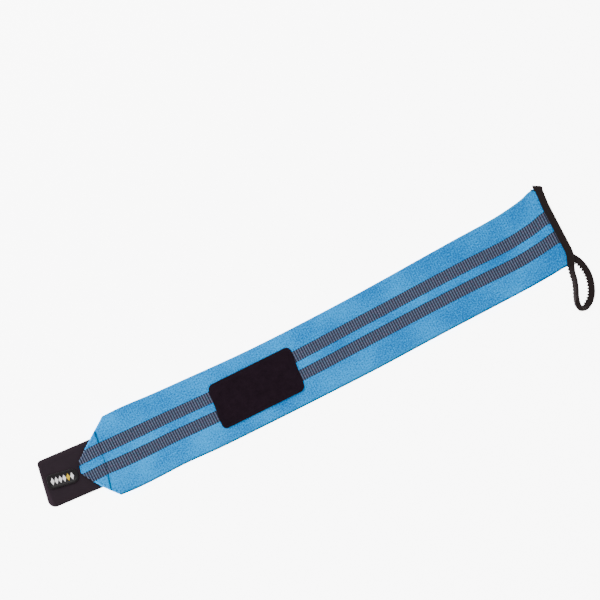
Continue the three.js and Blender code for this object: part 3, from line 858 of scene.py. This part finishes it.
def band_cloth(sizes):
    """The band's flat cloth: rows of points from edge to edge, its faces apart by its thickness and
    rounded off at the edges. The upper face carries ribs, bars and seams, the lower one ribs."""
    rows, shares = band_rows(), band_columns()
    (lower_x, lower_y), (upper_x, upper_y) = (cloth_edge(FOLDS[side], rows) for side in (-1, 1))
    width = (upper_y - lower_y)[:, None]
    x = lower_x[:, None] + (upper_x - lower_x)[:, None] * shares
    y = lower_y[:, None] + width * shares
    along, across = cloth_place(x, y)
    inside = np.minimum(shares, 1 - shares) * width
    drop = rounded_drop(inside, CLOTH_EDGE)
    fade = smooth((inside - CLOTH_EDGE) / SELVEDGE)
    relief = weave_relief(sizes, along, across)
    base = underside(x, y)
    top = base + CLOTH_THICKNESS - drop + fade * relief + seam_relief(sizes, x, y)
    bottom = base + drop - fade * 0.5 * relief
    pull = pull_at(y) * smooth(1 - (BAND_LENGTH - x) / (2 * PULL_RUN))
    past_edge = smooth((shares * width - EDGE_DARK) / EDGE_DARK)
    shade = seam_shade(x, y) * (EDGE_LIGHT + (1 - EDGE_LIGHT) * past_edge)
    return plate(x - pull, y, top, bottom, np.stack([along, across], -1), shade)


def folded_corner(sizes, fold):
    """A corner folded under: from inside the upper face round the fold's edge and back below as a
    flap that is widest at its tip. The cloth's own place goes on round the fold as if unfolded."""
    share = np.linspace(0, 1, 93)[:, None]
    ease = 1 - smooth((share - 1 + FOLD_TAPER) / FOLD_TAPER)
    radius = CLOTH_THICKNESS / 2 + (FOLD_RADIUS - CLOTH_THICKNESS / 2) * ease
    hollow = LEAST_HOLLOW + (SLIT_RADIUS - LEAST_HOLLOW) * ease
    spread = np.where(share < fold.tip_share, share / fold.tip_share, (1 - share) / (1 - fold.tip_share))
    flap = radius + spread * fold.depth
    turn = np.linspace(FOLD_START, -np.pi / 2, 15)
    back = np.linspace(0, 1, 12)[1:]
    under = np.repeat(FOLD_SWELL * ease - radius, len(back), 1)
    slit = np.repeat(-FOLD_SLIT / 2 * ease - 0.02 * MM, len(back), 1)
    outwards = np.concatenate([
        radius * np.cos(turn), -flap * back, -flap * back[::-1], hollow * np.cos(turn[::-1]),
    ], 1)
    up = np.concatenate([radius * np.sin(turn), under, slit, hollow * np.sin(turn[::-1])], 1)
    way_out = np.concatenate([np.cos(turn), np.zeros(2 * len(back) + len(turn))])
    way_up = np.concatenate([np.sin(turn), -np.ones(len(back)), np.zeros(len(back) + len(turn))])
    beyond = np.where(turn > 0, radius * (np.cos(turn) - 1), radius * -turn)
    over_flap = radius * np.pi / 2 + flap * back
    unfolded = np.concatenate([beyond, over_flap, over_flap[:, ::-1], beyond[:, ::-1]], 1)
    edge = fold_point(fold, share)
    lean = fold.lean * (1 - smooth(share / 0.25))[..., None] * fold.ahead
    inward = (radius - outwards)[..., None]
    in_cloth = edge + unfolded[..., None] * (fold.out - lean)
    along, across = cloth_place(in_cloth[..., 0], in_cloth[..., 1])
    relief = weave_relief(sizes, along, across) * ease
    place = edge - inward * fold.out + inward * lean + (relief * way_out)[..., None] * fold.out
    base = underside(place[..., 0], place[..., 1])
    middle = base + CLOTH_THICKNESS / 2 - (CLOTH_THICKNESS / 2 + FOLD_SLIT / 2) * ease
    height = middle + up + relief * way_up
    shade = np.where(up > 0, seam_shade(place[..., 0], place[..., 1]), 1.0)
    return sweep(
        np.concatenate([place, height[..., None]], -1), np.stack([along, across], -1), shade
    )


def on_cloth(sizes, x, y):
    """A line of points on the cloth's upper face, halfway down its ribs."""
    top = underside(x, y) + CLOTH_THICKNESS + seam_relief(sizes, x, y)
    return np.stack([x, y, top + 0.5 * weave_relief(sizes, *cloth_place(x, y))], -1)


def band_seams(sizes):
    """Rows of stitches: the dark one across the point, and the blue ones beside its two folds and
    along its blunt end."""
    upper, lower = FOLDS[1], FOLDS[-1]
    y = np.linspace(33, -39, 140) * MM
    x = seam_along(y)
    kept = (fold_distance(upper, x, y) > 0.3 * MM) & (fold_distance(lower, x, y) > 0.3 * MM)
    closing = [stitches(on_cloth(sizes, x[kept], y[kept]), sizes, filled=0.85)]
    rows = []
    for fold in (lower, upper):
        line = fold_point(fold, np.linspace(0.06, 0.62, 60)) - SEAM_INSET * fold.out
        rows.append(stitches(on_cloth(sizes, line[:, 0], line[:, 1]), sizes))
    side = np.linspace(-0.42, 0.42, 24) * BLUNT_WIDTH
    blunt = on_cloth(sizes, side * BLUNT_SKEW / BLUNT_WIDTH + 1.6 * MM, side)
    rows.append(stitches(blunt, sizes))
    return closing, rows


def apex_knot(sizes):
    """A knot of thread ends at the blunt end: two short loops that lie over its edge."""
    phase, reach = np.array([[0.4, 2.6], [1.7, 1.3]])[..., None]
    angle = phase + 1.6 * np.pi * np.linspace(0, 1, 25)
    x = (-0.9 + reach * 0.6 * np.cos(angle)) * MM
    y = (0.9 + reach * np.sin(angle)) * MM
    z = POINT_HEIGHT + CLOTH_THICKNESS - 0.5 * MM + 0.3 * MM * np.sin(2 * angle)
    lines = np.stack([x, y, z], -1)
    return threads(lines, np.full(lines.shape[:2], 0.45 * sizes.thread), sides=8)


def build_band(sizes, colours):
    """The cloth with its two folded corners and its seams."""
    elastic = elastic_finish(colours)
    cloth = add_piece("band_cloth", [band_cloth(sizes)], elastic, ["elastic_band"])
    corners = [
        add_piece(f"corner_{name}", [folded_corner(sizes, FOLDS[side])], elastic)
        for name, side in (("lower", -1), ("upper", 1))
    ]
    dark_thread = thread_finish("sewing thread", colours.thread)
    blue_thread = thread_finish("blue thread", colours.blue_thread)
    closing, beside = band_seams(sizes)
    cross = add_piece("cross_seam", closing, dark_thread)
    seams = add_piece("fold_seams", beside, blue_thread)
    knot = add_piece("apex_knot", [apex_knot(sizes)], dark_thread)


# Plates with rounded corners: the tab and the patch

def ticks(length, step, edge):
    """Places from 0 to a length, evenly apart and closer together at both ends."""
    near_edge = edge * np.array([0, 0.1, 0.35, 0.7, 1.0])
    inner = np.linspace(0, 1, int(length / step))[1:-1] * (length - 2 * edge) + edge
    return np.concatenate([near_edge, inner, length - near_edge[::-1]])


def plate_grid(length, width, radii, across_ends, step, edge):
    """Places over a plate, centred on the origin, in rows across its length. radii hold the corner
    radii as {(end, side): radius}, and across_ends gives how far each end leans from its lower to
    its upper corner, for the end at -x and the one at +x. Returns places x and y, and the distance
    inside the outline."""
    rows = ticks(length, step, edge) - length / 2
    shares = ticks(width, step, edge) / width
    reach = {}
    for side in (-1, 1):
        radius = np.where(rows < 0, radii[-1, side], radii[1, side])
        past = np.clip(np.abs(rows) - length / 2 + radius, 0, radius)
        reach[side] = side * (width / 2 - radius + np.sqrt(radius**2 - past**2))
    x = np.repeat(rows[:, None], len(shares), 1)
    y = reach[-1][:, None] + (reach[1] - reach[-1])[:, None] * shares
    radius = np.where(
        x < 0,
        np.where(y < 0, radii[-1, -1], radii[-1, 1]),
        np.where(y < 0, radii[1, -1], radii[1, 1]),
    )
    past_x, past_y = np.abs(x) - length / 2 + radius, np.abs(y) - width / 2 + radius
    in_corner = (past_x > 0) & (past_y > 0)
    straight = np.minimum(length / 2 - np.abs(x), width / 2 - np.abs(y))
    inside = np.where(in_corner, radius - np.hypot(past_x, past_y), straight)
    lean = across_ends[0] + (across_ends[1] - across_ends[0]) * (x / length + 0.5)
    return x + lean * y / width, y, np.maximum(inside, 0)


def turned(points, angle, place):
    """Points turned about the upright axis and moved to a place."""
    c, s = math.cos(angle), math.sin(angle)
    return points @ np.array([[c, s, 0], [-s, c, 0], [0, 0, 1]]) + np.array(place)


def rounded_line(length, width, radius, inset, count=364):
    """A closed line of places inside a rounded rectangle's outline: four straight sides and four
    quarter circles, evenly spaced."""
    half = np.array([length / 2 - inset, width / 2 - inset])
    r = max(radius - inset, 0.5 * MM)
    quarter = np.linspace(0, np.pi / 2, 12)
    corners = []
    for turn, sx, sy in ((0, 1, 1), (1, -1, 1), (2, -1, -1), (3, 1, -1)):
        angle = quarter + turn * np.pi / 2
        centre = np.array([sx, sy]) * (half - r)
        corners.append(centre + r * np.stack([np.cos(angle), np.sin(angle)], -1))
    return spaced(np.concatenate([*corners, corners[0][:1]]), count)[0]


def build_tab(sizes, colours):
    """The hook tab: a stiff tape with a smooth rounded back and hooks below."""
    length = TAB_SHOWN + TAB_TUCKED
    radii = {(-1, -1): TAB_LOWER_RADIUS, (-1, 1): TAB_UPPER_RADIUS, (1, -1): 2 * MM, (1, 1): 2 * MM}
    x, y, inside = plate_grid(length, TAB_WIDTH, radii, (TAB_SKEW, 0), 0.9 * MM, 1.0 * MM)
    shown = smooth((-x - 0.1 * length) / (0.4 * length))
    ripple = TAB_RIPPLE * np.sin(x / (7.5 * MM) + 0.6) * np.sin(y / (11 * MM) + 0.4) * shown
    roll = TAB_ROLL * (1 - smooth(inside / TAB_ROLL_RUN))
    top = TAB_THICKNESS - rounded_drop(inside, 0.8 * MM) - roll - np.abs(ripple)
    bottom = sizes.hook + rounded_drop(inside, 0.3 * MM)
    middle = (TAB_TUCKED - TAB_SHOWN) / 2
    # painted highlight: lighter towards the free end, as where the tab curls up and catches the light
    painted_highlight = 1 + TAB_PAINTED_HIGHLIGHT * (1 - smooth((x + length / 2 - 1.0 * MM) / TAB_HIGHLIGHT_RUN))
    body = plate(x, y, top, np.minimum(bottom, top - 0.1 * MM), np.stack([x, y], -1), painted_highlight)
    body.points = turned(body.points + np.array([middle, 0, 0]), TAB_TURN, (0, TAB_MIDDLE, 0))
    back = add_piece("tab_back", [body], tab_finish(colours), ["hook_tab"])
    hooks = add_piece("tab_hooks", [hook_field(sizes, length, middle)], hook_finish(colours))


def hook_field(sizes, length, middle):
    """Rows of hooks below the tab: each goes straight down and curls over at its end, every second
    row the other way."""
    nx = int((length - 2 * HOOK_END_MARGIN) / sizes.hook_pitch)
    ny = int((TAB_WIDTH - 2 * HOOK_SIDE_MARGIN) / sizes.hook_pitch)
    i, j = np.meshgrid(np.arange(nx), np.arange(ny), indexing="ij")
    x = ((i + 0.5 * (j % 2)) * sizes.hook_pitch - length / 2 + HOOK_END_MARGIN).ravel()
    y = (j * sizes.hook_pitch - TAB_WIDTH / 2 + HOOK_SIDE_MARGIN).ravel()
    lower_left = np.hypot(
        np.minimum(x + length / 2 - TAB_LOWER_RADIUS, 0),
        np.minimum(y + TAB_WIDTH / 2 - TAB_LOWER_RADIUS, 0),
    )
    kept = lower_left < TAB_LOWER_RADIUS - 1.5 * MM
    x, y, way = x[kept], y[kept], np.where(j.ravel()[kept] % 2, 1.0, -1.0)
    x = x + TAB_SKEW * (0.5 - x / length) * y / TAB_WIDTH + middle
    turn = np.linspace(0, 1.25 * np.pi, 6)
    bend = HOOK_STEM * sizes.hook
    side = np.concatenate([[0, 0], HOOK_CURL * (1 - np.cos(turn[1:]))])
    down = np.concatenate([
        [sizes.hook + HOOK_ROOT, bend], bend - (bend - HOOK_LEAST) * np.sin(turn[1:]),
    ])
    lines = np.stack([
        x[:, None] + way[:, None] * side, np.broadcast_to(y[:, None], (len(x), len(side))),
        np.broadcast_to(np.maximum(down, HOOK_LEAST), (len(x), len(side))),
    ], -1)
    lines = turned(lines.reshape(-1, 3), TAB_TURN, (0, TAB_MIDDLE, 0)).reshape(lines.shape)
    return threads(lines, np.full(lines.shape[:2], HOOK_RADIUS), sides=4)


def hook_finish(colours):
    """Clear-cut dark nylon of the hooks."""
    f = Finish("nylon hooks", Roughness=0.4, Specular_IOR_Level=0.3)
    lint = f.noise(f.places("Object"), 900.0)
    f.colour(f.mix(lint, scaled(colours.tab, 0.7), scaled(colours.tab, 1.6)))
    return f.material


# Label

def bullet_rings(insets, heights, count=24):
    """Rings round a bullet shape, each drawn in by its inset and set at its height: a rounded
    rectangle whose end next to the band is a half circle, so four quarter circles in all."""
    quarter = np.linspace(0, np.pi / 2, count, endpoint=False)
    rings = []
    for inset, height in zip(insets, heights):
        half = LABEL_WIDTH / 2 - inset
        corner = max(LABEL_RADIUS - inset, 0.8 * MM)
        near, far = -inset - half, inset - LABEL_LENGTH + corner
        arcs = (
            (half, near, 0, 0), (corner, far, corner - half, -np.pi / 2),
            (corner, far, half - corner, -np.pi), (half, near, 0, np.pi / 2),
        )
        parts = [
            np.stack([x + radius * np.cos(start - quarter), y + radius * np.sin(start - quarter)], -1)
            for radius, x, y, start in arcs
        ]
        rings.append(np.column_stack([np.concatenate(parts), np.full(4 * count, height)]))
    return np.stack(rings)


def label_place(points):
    """From the label's own frame, on the tab, to the layout."""
    on_tab = turned(points, LABEL_TURN, (-LABEL_SETBACK, LABEL_SIDE, TAB_HEIGHT))
    return turned(on_tab, TAB_TURN, (0, TAB_MIDDLE, 0))


def build_label(sizes, colours):
    """The moulded label: a bullet-shaped rim round a sunken field that carries a row of lozenges."""
    bend = np.linspace(0, np.pi / 2, 5)
    field = LABEL_THICKNESS - LABEL_RECESS
    insets = np.concatenate([
        [0.15 * MM, 0], LABEL_ROUND * (1 - np.cos(bend)), LABEL_RIM - LABEL_ROUND * np.cos(bend[::-1]),
        [LABEL_RIM + 0.1 * MM, LABEL_RIM + 0.35 * MM],
    ])
    heights = np.concatenate([
        [-CLEARANCE, 0.15 * MM], LABEL_THICKNESS - LABEL_ROUND * (1 - np.sin(bend)),
        LABEL_THICKNESS - LABEL_ROUND * (1 - np.sin(bend[::-1])), [field + 0.12 * MM, field],
    ])
    body = sweep(bullet_rings(insets, heights))
    body.points = label_place(body.points)
    rubber = rubber_finish("moulded rubber", colours.rubber, 0.36)
    add_piece("label_body", [body], rubber, ["tab_label"], crease=50)
    span = LABEL_LENGTH - 2 * LABEL_RIM - sum(LOZENGE_MARGINS)
    start = LABEL_RIM + LOZENGE_MARGINS[0] - LABEL_LENGTH
    marks = [lozenge(x, field) for x in start + span * (np.arange(LOZENGES) + 0.5) / LOZENGES]
    accent = marks.pop(ACCENT)
    emblem = rubber_finish("pale rubber", colours.emblem, 0.5)
    add_piece("label_lozenges", marks, emblem, crease=30)
    add_piece("label_accent", [accent], rubber_finish("bright rubber", colours.accent, 0.5))


def lozenge(x, field):
    """A low lozenge with bevelled sides, standing on the label's field."""
    angle = np.linspace(0, 2 * np.pi, 4, endpoint=False)
    corners = np.stack([LOZENGE_HALF_LENGTH * np.cos(angle), LOZENGE_HALF_WIDTH * np.sin(angle)], -1)
    body = sweep(np.stack([
        np.column_stack([corners * share + [x, 0], np.full(4, field + height * MM)])
        for share, height in ((1.0, -0.1), (1.0, 0.12), (0.86, 0.24))
    ]))
    body.points = label_place(body.points)
    return body


# Loop patch

def patch_place(points):
    """From the patch's own frame to the layout."""
    place = (PATCH_MIDDLE, float(middle_line(PATCH_MIDDLE)), CLOTH_THICKNESS + CLEARANCE)
    return turned(points, PATCH_TURN, place)


def build_patch(sizes, colours):
    """The loop patch: a plate of pile, pillowed inside a sewn line, with stitches sunk in it."""
    radii = {(end, side): PATCH_RADIUS for end in (-1, 1) for side in (-1, 1)}
    lean = PATCH_LEAN * PATCH_WIDTH
    x, y, inside = plate_grid(PATCH_LENGTH, PATCH_WIDTH, radii, (lean, lean), 0.6 * MM, 0.7 * MM)
    tufts = np.random.default_rng(7).uniform(-1, 1, x.shape) * sizes.pile
    groove = PATCH_GROOVE * bell(inside - PATCH_SEAM, PATCH_GROOVE_WIDTH)
    flatter = PATCH_FLAT * (1 - smooth(inside / PATCH_SEAM))
    fade = smooth(inside / (1.5 * MM))
    top = PATCH_THICKNESS - rounded_drop(inside, 0.7 * MM) - groove - flatter - (sizes.pile - tufts) * fade
    bottom = -CLEARANCE + rounded_drop(inside, 0.3 * MM)
    body = plate(x, y, top, bottom, np.stack([x, y], -1))
    body.points = patch_place(body.points)
    pile = add_piece("patch_pile", [body], pile_finish(colours), ["loop_patch"])
    line = rounded_line(PATCH_LENGTH, PATCH_WIDTH, PATCH_RADIUS, PATCH_SEAM)
    height = np.full(len(line), PATCH_THICKNESS - 0.62 * MM)
    path = patch_place(np.column_stack([line[:, 0] + PATCH_LEAN * line[:, 1], line[:, 1], height]))
    thread = thread_finish("patch thread", colours.thread)
    seam_piece = add_piece("patch_seam", [stitches(path, sizes)], thread)


# Binding

def binding_frames(y):
    """Places along the bound end and the way out from it, on the pulled end line."""
    step = 0.3 * MM
    slope = pull_at(y - step) - pull_at(y + step)
    out = np.stack([np.full_like(y, 2 * step), -slope], -1)
    out /= np.linalg.norm(out, axis=-1, keepdims=True)
    return np.stack([BAND_LENGTH - pull_at(y), y], -1), out


def binding_lean(y):
    """How far the binding sits outwards of the solid: most at its upper end."""
    return (BINDING_LIFT + TOP_LIFT * (1 - smooth((BINDING_TOP - y) / TOP_LIFT_RUN)))[:, None]


def binding_section(y):
    """Sections of the folded tape at places down the bound end: a narrow U drawn as a line with a
    thickness, its outer side first and then the inner side back. They close at both ends of the
    tape and swell near the upper one. Returns places outwards of the band's end and heights."""
    middle, r = BINDING_HEIGHT / 2, BINDING_ROUND
    bend = np.linspace(np.pi / 2, -np.pi / 2, 17)
    limb = BINDING_MOUTH + (BINDING_OUTER - r - BINDING_MOUTH) * np.linspace(0, 1, 9)[:-1]
    flat = np.ones_like(limb)
    level = np.concatenate([flat, np.sin(bend), -flat])
    side_way = np.concatenate([0 * flat, np.cos(bend), 0 * flat])
    bend_z = (middle - r) * np.sign(np.round(np.sin(bend), 6)) + r * np.sin(bend)
    line_x = np.concatenate([limb, BINDING_OUTER - r + r * np.cos(bend), limb[::-1]])
    line_z = np.concatenate([middle * flat, bend_z, -middle * flat])
    reach = np.minimum(BINDING_TOP - y, y - BINDING_BOTTOM)[:, None]
    weave = 0.06 * MM * (1 - np.cos(2 * np.pi * y / (1.1 * MM)))[:, None]
    inset = rounded_drop(reach, 0.6 * MM) + weave
    outer_x, outer_z = line_x - side_way * inset, line_z - level * inset
    lip = np.array([0.175, 0.075]) * MM
    outer_z[:, :2] -= lip
    outer_z[:, -2:] += lip[::-1]
    closed = 1 - smooth(reach / (1.3 * MM))
    inner_x = np.broadcast_to(line_x - side_way * BINDING_WALL, outer_x.shape)
    inner_z = (line_z - level * BINDING_WALL) * (1 - 0.96 * closed)
    knob = bell(BINDING_TOP - y - KNOB_DOWN, KNOB_RUN)[:, None]
    centre = BINDING_OUTER - BINDING_WIDTH / 2
    from_centre = np.concatenate([outer_x, inner_x[:, ::-1]], 1) - centre
    height = middle + np.concatenate([outer_z, inner_z[:, ::-1]], 1)
    outwards = centre + from_centre * (BINDING_SPREAD + KNOB_SPREAD * knob)
    return outwards, height * (1 + KNOB_SWELL * knob)


def build_binding(sizes, colours):
    """The binding: one tape folded over the band's end and slanted at its upper end, with a row of
    stitches along its mouth and the loose end of their thread."""
    near = np.array([0, 0.12, 0.4, 0.9]) * MM
    inner = np.linspace(BINDING_TOP - 1.6 * MM, BINDING_BOTTOM + 1.6 * MM, 150)
    y = np.concatenate([BINDING_TOP - near, inner, BINDING_BOTTOM + near[::-1]])
    outwards, height = binding_section(y)
    place, out = binding_frames(y)
    xy = place[:, None, :] + out[:, None, :] * (outwards + binding_lean(y))[..., None]
    near_top = bell(BINDING_TOP - y, SLANT_RUN)[:, None]
    xy[..., 1] -= SLANT * (outwards - BINDING_MOUTH - SLANT_AT) * near_top
    rings = np.concatenate([xy, height[..., None]], -1)
    across = np.arange(1, rings.shape[1] // 2 + 1) * 0.7 * MM
    uv = np.stack(np.broadcast_arrays(y[:, None], np.concatenate([across, across[::-1]])), -1)
    tape = tape_finish(colours)
    add_piece("binding_tape", [ladder_sweep(rings, uv)], tape, ["end_binding"])
    along = np.linspace(BINDING_TOP - 1.2 * MM, BINDING_BOTTOM + 1.2 * MM, 200)
    place, out = binding_frames(along)
    row = place + out * (BINDING_MOUTH + 0.5 * MM + binding_lean(along))
    line = np.column_stack([row, np.full(len(row), BINDING_HEIGHT - 0.05 * MM)])
    thread = thread_finish("binding thread", colours.thread)
    add_piece("binding_stitches", [stitches(line, sizes, thick=0.7)], thread)
    add_piece("thread_tail", [thread_tail(sizes)], thread)
    return tape


def ladder_sweep(rings, uv):
    """A swept solid whose section is a line with a thickness: the first half of each ring runs along
    its outer side and the second half back along its inner side. Its ends are closed by rungs."""
    count, around = rings.shape[:2]
    step = np.arange(around // 2 - 1)
    rungs = np.stack([step, step + 1, around - step - 2, around - step - 1], -1)
    quads = np.concatenate([ring_quads(rings), rungs[:, ::-1], rungs + (count - 1) * around])
    return surface(rings.reshape(-1, 3), [quads], uv.reshape(-1, 2))


def thread_tail(sizes):
    """The loose end of the binding's thread at its upper end, pointing back along the band."""
    t = np.linspace(0, 1, 24)
    x = BAND_LENGTH - (3.2 + 4.6 * t) * MM
    y = edge_line(x, 1) - (3.4 - 4.2 * t**1.5) * MM
    z = np.full_like(t, END_HEIGHT + CLOTH_THICKNESS + 0.45 * MM)
    line = np.stack([x, y, z], -1)[None]
    thick = sizes.thread * (0.75 + 0.55 * bell(t - 0.9, 0.1) - 0.5 * t**24)
    return threads(line, thick[None], sides=8)


# Thumb loop

def run_on(end, before, length):
    """The point that lies a length past the end of a line."""
    step = end - before
    return (end + step * length / np.linalg.norm(step[:2]))[None]


def loop_line(count):
    """The loop's middle line and its twist at even steps: cubics through the route's points, by the
    lengths of the chords between them, run on a little into the binding at both ends."""
    points = np.stack([
        BAND_LENGTH + BINDING_OUTER + LOOP_ROUTE["side"] * LOOP_SPREAD,
        BINDING_BOTTOM - LOOP_ROUTE["down"] * LOOP_REACH,
        LOOP_ROUTE["turn"],
    ], -1)
    at = reach_along(points[:, :2])
    line = hermite(at, points, np.gradient(points, at, axis=0), np.linspace(0, at[-1], 1200))
    ends = run_on(line[0], line[1], 2 * MM), run_on(line[-1], line[-2], 3 * MM)
    return spaced(np.concatenate([ends[0], line, ends[1]]), count)


def build_loop(sizes, colours, tape):
    """The thumb loop: a soft tape with a scalloped edge, twisted by half a turn along its way and
    resting on the table. Its section is a rounded bar with a sewn groove beside the scallops."""
    line, even = loop_line(560)
    turn = np.pi * np.clip(line[:, 2], 0, 1)[:, None]
    ahead = np.gradient(line[:, :2], axis=0)
    ahead /= np.linalg.norm(ahead, axis=1, keepdims=True)
    right = np.stack([ahead[:, 1], -ahead[:, 0]], -1)
    sine, cosine = np.sin(turn), np.cos(turn)
    scallops = round(even[-1] / SCALLOP_PITCH)
    lobe = np.sin(np.pi * even * scallops / even[-1])[:, None] ** 2
    edge = LOOP_WIDTH / 2 + LOOP_SPARE * cosine**2
    half = LOOP_THICKNESS / 2
    share = np.linspace(-1, 1, 25)
    thin = np.sqrt(np.clip(1 - np.abs(share) ** 7, 0, 1))
    tooth = ((SCALLOP_DEPTH + TOOTH_SPARE) * lobe - TOOTH_DROP) * (1 - 0.65 * sine)
    outward = edge * share + tooth * smooth((share - 0.3) / 0.7)
    rolled = 1 + LOOP_ROLL * sine**3
    ribbed = 0.05 * MM * np.cos(2 * np.pi * even / (1.0 * MM))[:, None]
    groove = 0.28 * MM * bell(share - 0.42, 0.13)
    beads = 0.22 * MM * bell(share - 0.72, 0.16) * (1 - lobe)
    thickness = (half * rolled + ribbed) * thin - groove - beads
    width_at = np.concatenate([outward, outward[:, -2:0:-1]], 1)
    up_at = np.concatenate([thickness, -thickness[:, -2:0:-1]], 1)
    lowest = sine * (edge + SCALLOP_DEPTH) + np.abs(cosine) * half * rolled
    sideways = width_at * cosine + up_at * sine
    xy = line[:, None, :2] + right[:, None, :] * sideways[..., None]
    z = lowest - width_at * sine + up_at * cosine
    rings = np.concatenate([xy, z[..., None]], -1)
    v = np.concatenate([share, share[-2:0:-1]]) * LOOP_WIDTH / 2
    uv = np.stack(np.broadcast_arrays(even[:, None], v), -1)
    add_piece("thumb_tape", [sweep(rings, uv)], tape, ["thumb_loop"])


# Stage

def light_area(name, place, target, size, power):
    """A square soft light that faces the target."""
    data = bpy.data.lights.new(name, "AREA")
    data.shape, data.size, data.energy = "SQUARE", size, power
    light = new_object(name, data)
    light.location = place
    light.rotation_euler = (target - place).to_track_quat("-Z", "Y").to_euler()


def build_table():
    """The floor: a light table that glows evenly."""
    mesh = bpy.data.meshes.new("floor")
    corners = [(FLOOR_REACH * x, FLOOR_REACH * y, 0) for x, y in ((-1, -1), (1, -1), (1, 1), (-1, 1))]
    mesh.from_pydata(corners, [], [(0, 1, 2, 3)])
    glow = {"Emission Color": (1, 1, 1, 1), "Emission Strength": FLOOR_GLOW}
    white = Finish("light table", Roughness=0.9, Base_Color=(0.95, 0.95, 0.95, 1), **glow)
    mesh.materials.append(white.material)
    new_object("floor", mesh)


def build_sky():
    """An even sky, very slightly warm."""
    world = bpy.data.worlds.new("even sky")
    world.use_nodes = True
    sky = world.node_tree.nodes["Background"].inputs
    sky["Color"].default_value = (1.0, 0.995, 0.99, 1)
    sky["Strength"].default_value = SKY_LIGHT
    bpy.context.scene.world = world


def build_camera(target, right, far):
    """A long lens nearly straight above its target, with the directions that are to the right and
    away in its picture."""
    level, upright = math.cos(VIEW_ELEVATION), math.sin(VIEW_ELEVATION)
    back = Vector((0, 0, upright)) - far * level
    above = Vector((0, 0, level)) + far * upright
    data = bpy.data.cameras.new("camera")
    data.lens, data.sensor_width, data.sensor_fit = LENS, SENSOR, "HORIZONTAL"
    data.clip_start, data.clip_end = 0.1, 50
    data.dof.use_dof = False
    camera = new_object("camera", data)
    axes = Matrix((right, above, back)).transposed()
    camera.matrix_world = Matrix.Translation(target + back * VIEW_WIDTH * LENS / SENSOR) @ axes.to_4x4()
    bpy.context.scene.camera = camera


def build_stage():
    """The table, the sky, two soft lights and the camera, turned so that the band rises to the
    right."""
    build_table()
    build_sky()
    right = Vector((math.cos(VIEW_TURN), -math.sin(VIEW_TURN), 0))
    far = Vector((math.sin(VIEW_TURN), math.cos(VIEW_TURN), 0))
    target = Vector(VIEW_TARGET)
    light_area("high light", target + far * 0.7 - right * 0.9 + Vector((0, 0, 1.1)), target, 0.8, 20)
    light_area("fill light", target - far * 0.9 + right * 0.6 + Vector((0, 0, 1.9)), target, 1.6, 5)
    build_camera(target, right, far)


# Operators, panel and registration

class WRAP_OT_band(bpy.types.Operator):
    """Weave the band, fold its corners and sew its point"""

    bl_idname = "wrist_wrap.band"
    bl_label = "Band"

    def execute(self, context):
        build_band(context.scene.wrap_sizes, context.scene.wrap_colours)
        return {"FINISHED"}


class WRAP_OT_tab(bpy.types.Operator):
    """Make the hook tab and its hooks"""

    bl_idname = "wrist_wrap.tab"
    bl_label = "Hook tab"

    def execute(self, context):
        build_tab(context.scene.wrap_sizes, context.scene.wrap_colours)
        return {"FINISHED"}


class WRAP_OT_label(bpy.types.Operator):
    """Mould the label on the tab"""

    bl_idname = "wrist_wrap.label"
    bl_label = "Label"

    def execute(self, context):
        build_label(context.scene.wrap_sizes, context.scene.wrap_colours)
        return {"FINISHED"}


class WRAP_OT_patch(bpy.types.Operator):
    """Make the loop patch and sew it on"""

    bl_idname = "wrist_wrap.patch"
    bl_label = "Loop patch"

    def execute(self, context):
        build_patch(context.scene.wrap_sizes, context.scene.wrap_colours)
        return {"FINISHED"}


class WRAP_OT_tapes(bpy.types.Operator):
    """Bind the end of the band and make the thumb loop"""

    bl_idname = "wrist_wrap.tapes"
    bl_label = "Binding and thumb loop"

    def execute(self, context):
        sizes, colours = context.scene.wrap_sizes, context.scene.wrap_colours
        build_loop(sizes, colours, build_binding(sizes, colours))
        return {"FINISHED"}


class WRAP_OT_stage(bpy.types.Operator):
    """Set the table, the lights and the camera"""

    bl_idname = "wrist_wrap.stage"
    bl_label = "Stage"

    def execute(self, context):
        build_stage()
        return {"FINISHED"}


OPERATORS = (WRAP_OT_stage, WRAP_OT_band, WRAP_OT_tab, WRAP_OT_label, WRAP_OT_patch, WRAP_OT_tapes)


class WRAP_PT_panel(bpy.types.Panel):
    """Lists the wrap's sizes, colours and pieces"""

    bl_idname = "WRAP_PT_panel"
    bl_label = "Wrist wrap"
    bl_space_type = "VIEW_3D"
    bl_region_type = "UI"
    bl_category = "Wrist wrap"

    def draw(self, context):
        for group in (context.scene.wrap_sizes, context.scene.wrap_colours):
            for name in group.__annotations__:
                self.layout.prop(group, name)
        for operator in OPERATORS:
            self.layout.operator(operator.bl_idname)


CLASSES = (WrapSizes, WrapColours, *OPERATORS, WRAP_PT_panel)


def register():
    """Registers the classes and gives each scene its sizes and colours."""
    for each in CLASSES:
        bpy.utils.register_class(each)
    bpy.types.Scene.wrap_sizes = bpy.props.PointerProperty(type=WrapSizes)
    bpy.types.Scene.wrap_colours = bpy.props.PointerProperty(type=WrapColours)


def unregister():
    """Takes back what register did."""
    del bpy.types.Scene.wrap_colours
    del bpy.types.Scene.wrap_sizes
    for each in reversed(CLASSES):
        bpy.utils.unregister_class(each)


def main():
    """Makes the stage and every piece."""
    register()
    bpy.ops.wrist_wrap.stage()
    bpy.ops.wrist_wrap.band()
    bpy.ops.wrist_wrap.tab()
    bpy.ops.wrist_wrap.label()
    bpy.ops.wrist_wrap.patch()
    bpy.ops.wrist_wrap.tapes()


if __name__ == "__main__":
    main()
